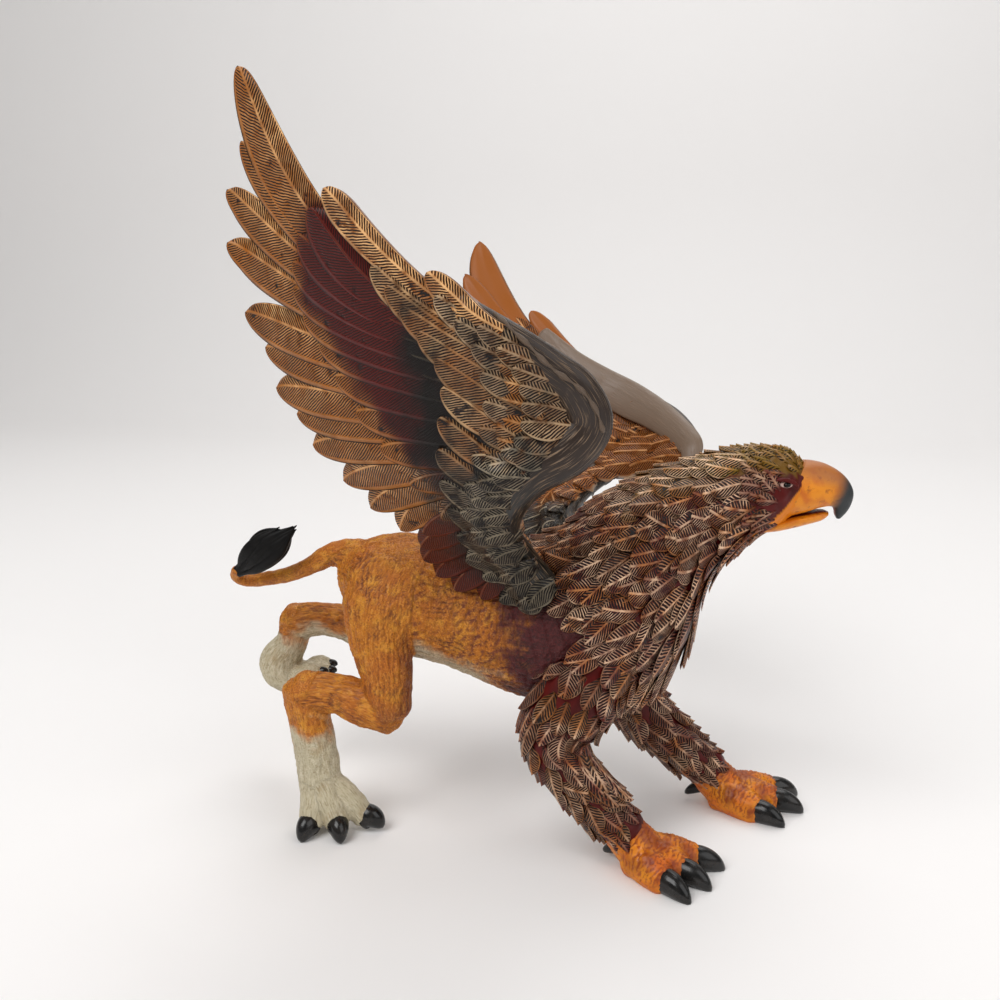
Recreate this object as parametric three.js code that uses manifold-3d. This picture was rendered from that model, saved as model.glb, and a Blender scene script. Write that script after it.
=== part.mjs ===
// A griffin figurine: a lion's body and tail, an eagle's head, breast and forefeet, and two raised
// wings glued on at the shoulders. It faces +X, stands on z = 0, and its left side is +Y.
import * as THREE from "three";
import { mergeVertices } from "three/addons/utils/BufferGeometryUtils.js";
import Module from "manifold-3d";

const wasm = await Module();
wasm.setup();

// Driving dimensions, in millimetres
const HEIGHT = 148; // ground to the tip of the right wing
const SEAT_GAP = 0.3; // between a wing's root and the shoulder that it sits on
const PLUME_HEIGHT = 1.5; // of a feather's raised tip on the neck, breast and forelegs
const BLADE_THICKNESS = 1.9; // of a wing's flight feather at its ridge
const CLAW_LENGTH = 7.5; // of the forefeet's claws
const HIND_CLAW_LENGTH = 4.8; // of the claws of the hind paw on the ground
const LIFTED_CLAW_LENGTH = 2.8; // of the claws of the hind paw held up behind
const TAIL_THICKNESS = 3.4; // at the middle of the bare tail

// Carving
const PLUMES_ROUND = 14; // feathers in a ring round the neck or the breast
const PLUME_ROWS = 10;
const FIRST_PLUME = 0.05; // where the rows start and stop, from the face to the rump
const LAST_PLUME = 0.53;
const SLEEVE_ROUND = 6; // feathers in a ring round a foreleg
const RIGHT_SLEEVE_ROWS = 7;
const LEFT_SLEEVE_ROWS = 6;
const ROOT_DIP = 0.1; // of a feather's height, by which its root lies under the skin
const VALLEY = 0.35; // height of the edge between two feathers' tips, as a share of theirs

// The pose is drawn on a grid that divides the height into 148 squares.
const SQUARE = HEIGHT / 148;
const at = (x, y, z) => new THREE.Vector3(x, y, z).multiplyScalar(SQUARE);
const SIDEWAYS = new THREE.Vector3(0, 1, 0);

const PAINT = {
  lion: { color: "#b5702c", roughness: 0.5, metalness: 0 },
  wing: { color: "#7c5638", roughness: 0.45, metalness: 0.1 },
};

// Solids

function solidOf(points, faces) {
  const corner = (k) => points[faces[k]];
  let volume = 0;
  for (let k = 0; k < faces.length; k += 3)
    volume += corner(k).dot(corner(k + 1).clone().cross(corner(k + 2)));
  const triVerts = Uint32Array.from(volume < 0 ? faces.toReversed() : faces);
  const vertProperties = Float32Array.from(points.flatMap((p) => p.toArray()));
  return new wasm.Manifold(new wasm.Mesh({ numProp: 3, vertProperties, triVerts }));
}

function solidOfGeometry(geometry, matrix = new THREE.Matrix4()) {
  const plain = new THREE.BufferGeometry();
  plain.setAttribute("position", geometry.getAttribute("position").clone());
  plain.setIndex(geometry.index);
  plain.applyMatrix4(matrix);
  const merged = mergeVertices(plain, 1e-4);
  const position = merged.getAttribute("position");
  const points = [];
  for (let k = 0; k < position.count; k++)
    points.push(new THREE.Vector3().fromBufferAttribute(position, k));
  return solidOf(points, [...merged.index.array]);
}

function geometryOf(solid) {
  const mesh = solid.getMesh();
  const geometry = new THREE.BufferGeometry();
  geometry.setAttribute("position", new THREE.BufferAttribute(mesh.vertProperties, 3));
  geometry.setIndex(new THREE.BufferAttribute(mesh.triVerts, 1));
  geometry.computeVertexNormals();
  return geometry;
}

const join = (solids) => solids.reduce((whole, piece) => whole.add(piece));

// A stack of rings with as many points each, closed by a point at either end.
function loft(start, rings, end) {
  const sides = rings[0].length;
  const points = [start, ...rings.flat(), end];
  const last = points.length - 1;
  const index = (ring, side) => 1 + ring * sides + (side % sides);
  const faces = [];
  for (let side = 0; side < sides; side++) {
    faces.push(0, index(0, side + 1), index(0, side));
    for (let ring = 1; ring < rings.length; ring++) {
      const [a, b] = [index(ring - 1, side), index(ring - 1, side + 1)];
      const [c, d] = [index(ring, side), index(ring, side + 1)];
      faces.push(a, b, d, a, d, c);
    }
    faces.push(index(rings.length - 1, side), index(rings.length - 1, side + 1), last);
  }
  return solidOf(points, faces);
}

// A surface is a function of along (0 to 1), angle and swell in millimetres, and gives a point.
const ringOn = (surface, sides, along, swell = 0) =>
  Array.from({ length: sides }, (_, side) => surface(along, (2 * Math.PI * side) / sides, swell));

const curveThrough = (points) => new THREE.CatmullRomCurve3(points, false, "catmullrom", 0.5);

// The surface of a limb: ovals square to a path. A station is [x, y, z, half width, half depth].
function limbSurface(stations) {
  const path = curveThrough(stations.map(([x, y, z]) => at(x, y, z)));
  const sizes = curveThrough(stations.map(([, , , width, depth]) => at(width, depth, 0)));
  return (along, angle, swell = 0) => {
    const forward = path.getTangent(along);
    const across = SIDEWAYS.clone().addScaledVector(forward, -forward.y).normalize();
    const deep = forward.clone().cross(across);
    const size = sizes.getPoint(along);
    return path
      .getPoint(along)
      .addScaledVector(across, Math.cos(angle) * (size.x + swell))
      .addScaledVector(deep, Math.sin(angle) * (size.y + swell));
  };
}

// The point of a limb's rounded end: along is 0 at its start and 1 at its end.
function capOf(stations, along) {
  const path = curveThrough(stations.map(([x, y, z]) => at(x, y, z)));
  const depth = stations.at(along ? -1 : 0)[4] * SQUARE;
  const reach = (along ? 0.6 : -0.6) * depth;
  return path.getPoint(along).addScaledVector(path.getTangent(along), reach);
}

function limb(stations, sides = 8, swell = 0) {
  const surface = limbSurface(stations);
  const rings = stations.map((_, k) => ringOn(surface, sides, k / (stations.length - 1), swell));
  return loft(capOf(stations, 0), rings, capOf(stations, 1));
}

// Rows of overlapping feathers on a surface, pointing along it. Each row has two rings: the
// feathers' roots, which lie low, and their lower edge, raised and cut to a point at each ridge.
// The next row starts under that edge, half a feather round.
function featherRings(surface, feathers, rows, from, to, height) {
  const sides = 2 * feathers;
  const step = (to - from) / rows;
  const isRidge = (side, row) => (side + row) % 2 === 0;
  const edge = (row, side) => from + step * (row + (isRidge(side, row) ? 1.35 : 0.75));
  const ring = (row, swell) =>
    Array.from({ length: sides }, (_, side) =>
      surface(edge(row, side), (2 * Math.PI * side) / sides, swell(isRidge(side, row))),
    );
  const rings = [];
  for (let row = 0; row < rows; row++) {
    rings.push(ring(row, (ridge) => (ridge ? 1 : VALLEY) * height));
    rings.push(ring(row, () => -ROOT_DIP * height));
  }
  return rings;
}

// Trunk, neck and head

// [back x, back z, belly x, belly z, half width, shift to the left], from the rump to the face
const TRUNK = [
  [-24.6, 58.6, -24, 47.8, 5, -2],
  [-20.2, 62, -20.6, 42, 11, -2],
  [-12.8, 63.3, -12.4, 38, 12.6, -1.5],
  [-3.2, 61.8, -2.4, 35.2, 12.2, -1],
  [9, 60.6, 11.4, 30, 14, -0.5],
  [19.6, 64.6, 23, 28.8, 16.6, 0],
  [29.4, 72.4, 37.4, 31.4, 16.4, 0],
  [38.2, 77, 45.8, 43.4, 14, 0],
  [47.4, 80.2, 49.6, 56.6, 11.4, 0],
  [56, 82.6, 57, 64.8, 9.2, 0],
  [62.8, 82.6, 61.6, 67.4, 7.8, 0],
  [66.6, 80, 63.6, 69, 5.6, 0],
];
const BACK = curveThrough(TRUNK.map(([x, z]) => at(x, 0, z)));
const BELLY = curveThrough(TRUNK.map(([, , x, z]) => at(x, 0, z)));
const GIRTH = curveThrough(TRUNK.map(([, , , , half, shift]) => at(half, shift, 0)));

// A point on the trunk: along runs from 0 at the face to 1 at the rump, and angle from the back
// down the left side.
function trunkSurface(along, angle, swell = 0) {
  const back = BACK.getPoint(1 - along);
  const belly = BELLY.getPoint(1 - along);
  const girth = GIRTH.getPoint(1 - along);
  const half = back.sub(belly).multiplyScalar(0.5);
  return belly
    .add(half)
    .add(half.clone().setLength(half.length() + swell).multiplyScalar(Math.cos(angle)))
    .addScaledVector(SIDEWAYS, (girth.x + swell) * Math.sin(angle) + girth.y);
}

const FACE = at(66.5, 0, 73.5);
const RUMP = at(-26, -2, 53.4);

const plainRings = (from, to, steps, swell = 0) =>
  Array.from({ length: steps }, (_, k) =>
    ringOn(trunkSurface, 2 * PLUMES_ROUND, from + ((to - from) * k) / (steps - 1), swell),
  );

// Feathers from the face to the shoulders, then the smooth barrel and rump
function trunk() {
  const rings = [
    ...plainRings(0, FIRST_PLUME, 2),
    ...featherRings(trunkSurface, PLUMES_ROUND, PLUME_ROWS, FIRST_PLUME, LAST_PLUME, PLUME_HEIGHT),
    ...plainRings(LAST_PLUME + 0.05, 1, 5),
  ];
  return loft(FACE, rings, RUMP);
}

// A foreleg in its feathers, from the shoulder to the wrist
function sleeve(stations, rows) {
  const surface = limbSurface(stations);
  const sides = 2 * SLEEVE_ROUND;
  const rings = [
    ringOn(surface, sides, 0),
    ...featherRings(surface, SLEEVE_ROUND, rows, 0.02, 0.9, PLUME_HEIGHT),
    ringOn(surface, sides, 1),
  ];
  return loft(capOf(stations, 0), rings, capOf(stations, 1));
}

// Beak, eyes and brows

function head() {
  const upper = limb([
    [62.5, 0, 74.6, 5.2, 5],
    [67.5, 0, 75.2, 4.4, 4.9],
    [71.2, 0, 75.6, 3.4, 4.2],
    [74, 0, 74, 2.5, 2.9],
    [74.8, 0, 71.8, 1.5, 1.5],
  ]);
  const tip = limb([
    [74.8, 0, 72.4, 1.5, 1.6],
    [74.3, 0, 70.6, 0.8, 0.7],
  ], 6);
  const lower = limb([
    [58, 0, 67.3, 4, 2.2],
    [64.5, 0, 68, 3.2, 1.4],
    [69.8, 0, 69.8, 1.9, 1],
  ]);
  const eye = (side) => {
    const ball = new THREE.SphereGeometry(1.5 * SQUARE, 6, 4);
    const place = at(62.2, side * 6.9, 77.4);
    return solidOfGeometry(ball, new THREE.Matrix4().setPosition(place));
  };
  const brow = (side) =>
    limb([
      [66.4, side * 4.6, 78.6, 1, 0.8],
      [62.6, side * 6.4, 80, 1.6, 1.1],
      [58, side * 7.2, 80.4, 1.2, 0.9],
    ], 6);
  return [upper, tip, lower, eye(1), eye(-1), brow(1), brow(-1)];
}

// Legs

const RIGHT_FORELEG = [
  [30, -8.5, 45, 7, 9],
  [24.8, -12.6, 35.5, 6.6, 8.2],
  [20.8, -14.6, 27.2, 5.8, 6.8],
  [23, -15.2, 21, 5, 5.6],
  [27, -15.2, 16.2, 4.7, 4.8],
  [31, -15, 11.6, 4.5, 4.4],
  [35, -15, 8, 4.4, 4.2],
];
const LEFT_FORELEG = [
  [28, 9, 42, 7, 9],
  [32, 11.6, 29, 6, 7.2],
  [37, 13.2, 21.4, 5.4, 5.7],
  [43, 13.8, 15.4, 5, 5.1],
  [49, 13.8, 10.4, 4.6, 4.5],
  [52.6, 13.8, 7.8, 4.4, 4.3],
];
const RIGHT_THIGH = [
  [-13, -5.5, 57, 5.6, 8.8],
  [-15.2, -8.4, 51, 6.6, 8.8],
  [-15.6, -10.4, 43.6, 5.8, 6.9],
  [-14.2, -11.6, 36, 5, 5.3],
  [-13.7, -12, 29.2, 4.6, 4.6],
];
const RIGHT_SHANK = [
  [-13.4, -12, 27.8, 4.2, 4.2],
  [-19.4, -11.8, 29.8, 4, 5],
  [-25.6, -11.2, 31.2, 3.5, 4.3],
  [-32, -10.8, 30.8, 3.9, 4.9],
];
const RIGHT_METATARSUS = [
  [-32.2, -10.8, 31.8, 3.9, 5],
  [-31.5, -10.6, 25, 3.6, 4.7],
  [-30.4, -10.4, 17, 3.7, 4.7],
  [-29.5, -10.4, 9.6, 4.5, 5.2],
  [-28.2, -10.8, 2.4, 5.4, 5.9],
];
const LEFT_THIGH = [
  [-12.4, 4, 55.6, 6, 8.6],
  [-15.6, 7.6, 49, 6, 7.8],
  [-19.2, 10, 41.6, 5.2, 6.2],
  [-22.8, 11.6, 35.4, 4.6, 4.8],
];
const LEFT_SHANK = [
  [-22.6, 11.6, 34.6, 4.2, 4.4],
  [-29.6, 12, 38, 3.8, 4.2],
  [-36.6, 12, 38.8, 3.5, 3.9],
  [-42.4, 12, 37.6, 3.9, 4.7],
];
const LEFT_METATARSUS = [
  [-41.8, 12, 38.4, 3.6, 4.2],
  [-43.4, 12, 33, 3.6, 3.7],
  [-46.6, 12, 27.6, 4.4, 4.9],
  [-44.6, 12, 24.6, 4.6, 4],
  [-39.6, 12, 25, 4.2, 3.2],
];
const TAIL = [
  [-20, -1.6, 58, 3.6, 3.8],
  [-24.6, -1.4, 58.6, 3, 3.2],
  [-29, -1, 57.8, 2.5, 2.6],
  [-33.6, -0.4, 55.2, 2, 2],
  [-39, 0.4, 52.7, 1.7, 1.7],
  [-44.6, 0.8, 51.4, 1.6, 1.6],
  [-48.6, 0.2, 51, 1.5, 1.5],
  [-50.2, -1.8, 52.4, 1.6, 1.6],
  [-48.6, -4, 54.6, 1.7, 1.7],
];
const TUFT = [
  [-48.8, -3.8, 54.4, 1.6, 1.6],
  [-46, -4.6, 56.6, 2.1, 2.2],
  [-42, -5.4, 59.6, 2.4, 2.7],
  [-38.2, -6, 62.4, 2.1, 2.3],
  [-35, -6.6, 64.8, 1.1, 1.2],
];

// A toe from the foot to where its claw starts, and the claw down to the ground
function toe(root, knuckle, radius) {
  const middle = root.map((value, k) => (value + knuckle[k]) / 2);
  return limb([
    [...root, radius, 1.2 * radius],
    [middle[0], middle[1], middle[2] + 0.5, 1.05 * radius, 1.2 * radius],
    [...knuckle, 0.92 * radius, 1.05 * radius],
  ], 6);
}

function claw(knuckle, tip, length, radius) {
  const start = at(...knuckle);
  const reach = at(...tip).sub(start).setLength(length);
  const place = (share, lift) => {
    const point = start.clone().addScaledVector(reach, share).divideScalar(SQUARE);
    return [point.x, point.y, point.z + lift];
  };
  return limb([
    [...place(-0.1, 0), radius, radius],
    [...place(0.45, 1), radius * 0.88, radius * 0.8],
    [...place(0.85, 0.4), radius * 0.4, radius * 0.36],
  ], 5);
}

// A toe is [root, knuckle, tip of the claw]. The palm is a limb too, and the spur is the heel's claw.
const RIGHT_FOREFOOT = {
  palm: [[35.6, -15, 6.4, 4.2, 4.4], [39.5, -15.6, 2.6, 5.8, 4.8]],
  spur: [[35.6, -15, 3.8], [28.4, -11.8, 0.6]],
  toes: [
    [[36.5, -16.8, 2.8], [42.4, -21.7, 1.9], [46.9, -25.4, -0.2]],
    [[38, -15.6, 2.9], [45.6, -18.2, 2.1], [51.9, -21.3, -0.2]],
    [[38, -14, 2.9], [48, -13.8, 2.1], [54, -13.4, -0.2]],
  ],
};
const LEFT_FOREFOOT = {
  palm: [[52.8, 13.8, 6.4, 4.2, 4.4], [57.5, 13, 2.6, 5.8, 4.8]],
  spur: [[52.8, 13.8, 3.8], [46.6, 14.4, 0.6]],
  toes: [
    [[54.4, 11.8, 2.8], [62, 7.4, 1.9], [68.8, 4.2, -0.2]],
    [[56, 13, 2.9], [66.2, 12.4, 2.1], [74.2, 11, -0.2]],
    [[55.5, 14, 2.9], [66, 17.2, 2.1], [73.4, 19, -0.2]],
  ],
};
const RIGHT_HIND_TOES = [
  [[-29.4, -10.6, 2.8], [-31.4, -13.2, 2.1], [-32.2, -16.8, 0.6]],
  [[-28, -10.8, 2.8], [-24.6, -12.8, 2.1], [-23.2, -16.4, 0.6]],
  [[-27, -10.4, 2.8], [-20.2, -9.6, 2.1], [-15.6, -9.4, 0.6]],
];
const LEFT_HIND_TOES = [
  [[-40, 9.6, 25.2], [-36.4, 9.2, 26.4], [-33, 9, 27.4]],
  [[-40, 12.4, 24.8], [-35.6, 12.4, 25.6], [-32.4, 12.4, 26.2]],
  [[-40, 15, 25], [-36.4, 15.2, 26], [-33, 15.4, 26.6]],
];
const FORE = { toe: 3.2, claw: 2.3, spur: 1.5 }; // radii, in squares
const HIND = { toe: 3.2, claw: 2.7 };

function toesOf(toes, radii, clawLength) {
  return toes.flatMap(([root, knuckle, tip]) => [
    toe(root, knuckle, radii.toe),
    claw(knuckle, tip, clawLength, radii.claw),
  ]);
}

function forefoot({ palm, spur, toes }) {
  return [
    limb(palm),
    claw(...spur, 0.85 * CLAW_LENGTH, FORE.spur),
    ...toesOf(toes, FORE, CLAW_LENGTH),
  ];
}

// The ground plane cuts the soles flat, so that the figure stands.
function groundSlab() {
  const thickness = 0.2 * HEIGHT;
  const slab = new THREE.BoxGeometry(2 * HEIGHT, 2 * HEIGHT, thickness);
  return solidOfGeometry(slab, new THREE.Matrix4().makeTranslation(0, 0, -thickness / 2));
}

// The tail's stations at the thickness asked for, which is measured at its middle station
function tail() {
  const middle = TAIL[Math.floor(TAIL.length / 2)];
  const scale = TAIL_THICKNESS / (2 * middle[3] * SQUARE);
  return TAIL.map(([x, y, z, width, depth]) => [x, y, z, width * scale, depth * scale]);
}

function bodySolid() {
  const pieces = [
    trunk(),
    sleeve(RIGHT_FORELEG, RIGHT_SLEEVE_ROWS),
    sleeve(LEFT_FORELEG, LEFT_SLEEVE_ROWS),
    ...head(),
    ...forefoot(RIGHT_FOREFOOT),
    ...forefoot(LEFT_FOREFOOT),
    limb(RIGHT_THIGH),
    limb(RIGHT_SHANK),
    limb(RIGHT_METATARSUS),
    limb(LEFT_THIGH),
    limb(LEFT_SHANK),
    limb(LEFT_METATARSUS),
    ...toesOf(RIGHT_HIND_TOES, HIND, HIND_CLAW_LENGTH),
    ...toesOf(LEFT_HIND_TOES, HIND, LIFTED_CLAW_LENGTH),
    limb(tail(), 6),
    limb(TUFT, 6),
  ];
  return join(pieces).subtract(groundSlab());
}

// Wings, drawn for the right side on a curved sheet whose origin is the shoulder joint

const ROOT_DEPTH = 0.5; // how far the sheet starts inside the joint
const LEAN = 0.2; // outward for each square up
const ARCH = 20; // how far the sheet bulges outward
const ARCH_SPAN = 95; // from the feather tips to the leading edge
const ARCH_START = -53;
const ARCH_RISE = 25; // height over which the bulge grows from nothing

// The sheet's own distance from the shoulder, outward, at a place x forward and z up
function sheet(x, z) {
  const across = Math.sin(Math.PI * THREE.MathUtils.clamp((x - ARCH_START) / ARCH_SPAN, 0, 1));
  return ROOT_DEPTH - LEAN * z - ARCH * across * THREE.MathUtils.clamp(z / ARCH_RISE, 0, 1);
}
const onSheet = (x, z) => at(x, sheet(x, z), z);

// A feather blade along a bent line on the sheet: root and tip are [x, z], and sag bends it.
function blade(root, tip, sag, width, thickness, long) {
  const along = [tip[0] - root[0], tip[1] - root[1]];
  const length = Math.hypot(...along);
  const square = [-along[1] / length, along[0] / length];
  const line = (t) => [0, 1].map((k) => root[k] + along[k] * t + square[k] * sag * 4 * t * (1 - t));
  const shares = long ? [0.3, 0.7, 0.93] : [0.45, 0.88];
  const widths = long ? [0.8, 1, 0.62] : [1, 0.74];
  const rings = shares.map((t, k) => {
    const [x, z] = line(t);
    const half = (widths[k] * width) / 2;
    const edge = (sign) => onSheet(x + sign * square[0] * half, z + sign * square[1] * half);
    const ridge = (sign) => onSheet(x, z).addScaledVector(SIDEWAYS, (sign * thickness) / 2);
    return [edge(1), ridge(1), edge(-1), ridge(-1)];
  });
  return loft(onSheet(...line(0)), rings, onSheet(...line(1)));
}

const curveOn = (points) => curveThrough(points.map(([x, z]) => new THREE.Vector3(x, 0, z)));
const pair = (curve, share) => {
  const point = curve.getPoint(share);
  return [point.x, point.z];
};

// A row of blades from a root curve to a tip curve
function row({ count, roots, tips, sag, width, thickness, long = false }) {
  const rootCurve = curveOn(roots);
  const tipCurve = curveOn(tips);
  const mix = ([first, last], share) => first + (last - first) * share;
  return Array.from({ length: count }, (_, k) => {
    const share = k / (count - 1);
    const sizes = [mix(sag, share), mix(width, share), thickness, long];
    return blade(pair(rootCurve, share), pair(tipCurve, share), ...sizes);
  });
}

const FLIGHT_ROW = {
  count: 12,
  roots: [[-14, 50], [-3, 40], [2, 28], [2, 16]],
  tips: [[-46.7, 88], [-54, 69.5], [-52, 47], [-46.5, 33.5], [-35.9, 18.1], [-25.7, 9.5]],
  sag: [5.3, -4.5],
  width: [8.4, 8.2],
  thickness: BLADE_THICKNESS,
  long: true,
};
const INNER_ROW = {
  count: 6,
  roots: [[3, 16], [3, 8], [3, 1]],
  tips: [[-20.6, 9.6], [-23, 2], [-17.6, -4.4], [-6.5, -7.2]],
  sag: [-2, -1],
  width: [8, 6.6],
  thickness: BLADE_THICKNESS,
};
const GREATER_COVERTS = {
  count: 8,
  roots: [[-10, 48], [0, 40], [3, 28], [1, 14]],
  tips: [[-40, 67], [-42, 58], [-36.5, 46], [-28, 34], [-19, 23], [-14, 9]],
  sag: [3.5, -3],
  width: [8.4, 8.4],
  thickness: 1.7 * BLADE_THICKNESS,
};
const MEDIAN_COVERTS = {
  count: 7,
  roots: [[-1, 44], [8, 37], [8, 29], [-1, 18], [-1, 6]],
  tips: [[-15, 52.5], [-12, 45], [-11.2, 37], [-12.2, 28], [-12.4, 18], [-9, 6]],
  sag: [2, -2],
  width: [6.6, 7],
  thickness: 2.5 * BLADE_THICKNESS,
};
const LEADING_COVERTS = [
  { root: [-6, 46], tip: [-32.4, 69], sag: 2.2, width: 5.4 },
  { root: [4, 42], tip: [-14.4, 55.9], sag: 1.5, width: 5.4 },
];

// The wing's arm: shoulder, elbow, wrist and hand, on the sheet
const ARM = [
  [1.5, -3, 3.4, 4.4],
  [-0.4, 5, 3.2, 5],
  [-1.6, 13, 3, 5],
  [1, 21, 2.9, 4.9],
  [6.4, 27.4, 2.9, 4.4],
  [10, 33.2, 2.6, 3.7],
  [7.3, 38.5, 2.4, 3.3],
  [3.6, 41.6, 2.2, 3],
  [-1.4, 45.2, 2, 2.7],
  [-8.1, 49.6, 1.7, 2.1],
];

function wingSolid() {
  const arm = limb(ARM.map(([x, z, thick, deep]) => [x, sheet(x, z), z, thick, deep]));
  const leading = LEADING_COVERTS.map(({ root, tip, sag, width }) =>
    blade(root, tip, sag, width, 1.9 * BLADE_THICKNESS),
  );
  const rows = [FLIGHT_ROW, INNER_ROW, GREATER_COVERTS, MEDIAN_COVERTS].flatMap(row);
  return join([arm, ...leading, ...rows]);
}

const SEAT_RINGS = 16;

// Where each wing is glued on, and how it is turned there
const RIGHT_SHOULDER = at(18, -14, 60);
const LEFT_SHOULDER = at(25, 12.8, 57);
const LEFT_TURN = new THREE.Euler(-0.43, 0.04, -0.28);

// What is cut from a wing's root so that it sits on the shoulder: the trunk and forelegs, as far
// out as their feathers' tips and the gap
function seatSolid() {
  const swell = PLUME_HEIGHT + SEAT_GAP;
  return join([
    loft(FACE, plainRings(0, 1, SEAT_RINGS, swell), RUMP),
    limb(RIGHT_FORELEG, 2 * SLEEVE_ROUND, swell),
    limb(LEFT_FORELEG, 2 * SLEEVE_ROUND, swell),
  ]);
}

function wingGroup(name, solid, place, turn, seat) {
  const group = new THREE.Group();
  group.position.copy(place);
  group.rotation.copy(turn);
  group.updateMatrixWorld(true);
  const seatHere = seat.transform(group.matrixWorld.clone().invert().toArray());
  group.add(mesh(name, solid.subtract(seatHere), PAINT.wing));
  return group;
}

function mesh(name, solid, paint) {
  const made = new THREE.Mesh(geometryOf(solid), new THREE.MeshStandardMaterial(paint));
  made.name = name;
  return made;
}

function griffin() {
  const seat = seatSolid();
  const right = wingSolid();
  const left = right.mirror([0, 1, 0]);
  const root = new THREE.Group();
  root.add(mesh("body", bodySolid(), PAINT.lion));
  root.add(wingGroup("wing_right", right, RIGHT_SHOULDER, new THREE.Euler(), seat));
  root.add(wingGroup("wing_left", left, LEFT_SHOULDER, LEFT_TURN, seat));
  return root;
}

const root = griffin();
root.updateMatrixWorld(true);
const box = new THREE.Box3().setFromObject(root, true);
root.position.set(-(box.min.x + box.max.x) / 2, -(box.min.y + box.max.y) / 2, -box.min.z);

export default root;
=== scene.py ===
"""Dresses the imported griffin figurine: its fur, feathers, wings, beak, claws and paint."""
import math

import bpy
import numpy as np
from mathutils import Euler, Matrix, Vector


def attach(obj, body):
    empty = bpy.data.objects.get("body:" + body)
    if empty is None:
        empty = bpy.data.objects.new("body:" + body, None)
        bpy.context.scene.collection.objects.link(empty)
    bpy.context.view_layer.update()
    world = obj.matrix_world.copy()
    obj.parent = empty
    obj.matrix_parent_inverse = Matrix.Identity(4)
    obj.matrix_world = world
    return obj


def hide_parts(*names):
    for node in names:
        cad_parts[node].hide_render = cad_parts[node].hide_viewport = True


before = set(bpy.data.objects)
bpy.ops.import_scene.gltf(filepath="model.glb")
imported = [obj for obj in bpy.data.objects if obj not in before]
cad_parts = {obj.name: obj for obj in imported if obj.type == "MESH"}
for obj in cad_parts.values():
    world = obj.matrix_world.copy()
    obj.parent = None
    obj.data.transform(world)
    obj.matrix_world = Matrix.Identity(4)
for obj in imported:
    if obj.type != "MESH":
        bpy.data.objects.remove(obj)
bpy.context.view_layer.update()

bl_info = {
    "name": "Griffin figurine",
    "version": (1, 0, 0),
    "blender": (4, 5, 0),
    "location": "3D View > Sidebar > Griffin",
    "description": "Builds the fur, feathers, wings, beak, claws and paint of a griffin figurine",
    "category": "Object",
}

# The drawing grid, as in the part's source: millimetres, with its origin at this place in the frame
GRID = np.array([-12.312, -17.441, 0.0])
MM = 0.001

# Trunk: back x and z, belly x and z, half width, shift to the left, from the rump to the face
TRUNK = np.array([
    [-24.6, 58.6, -24, 47.8, 5, -2], [-20.2, 62, -20.6, 42, 11, -2], [-12.8, 63.3, -12.4, 38, 12.6, -1.5],
    [-3.2, 61.8, -2.4, 35.2, 12.2, -1], [9, 60.6, 11.4, 30, 14, -0.5], [19.6, 64.6, 23, 28.8, 16.6, 0],
    [29.4, 72.4, 37.4, 31.4, 16.4, 0], [38.2, 77, 45.8, 43.4, 14, 0], [47.4, 80.2, 49.6, 56.6, 11.4, 0],
    [56, 82.6, 57, 64.8, 9.2, 0], [62.8, 82.6, 61.6, 67.4, 7.8, 0], [66.6, 80, 63.6, 69, 5.6, 0],
])

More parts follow.
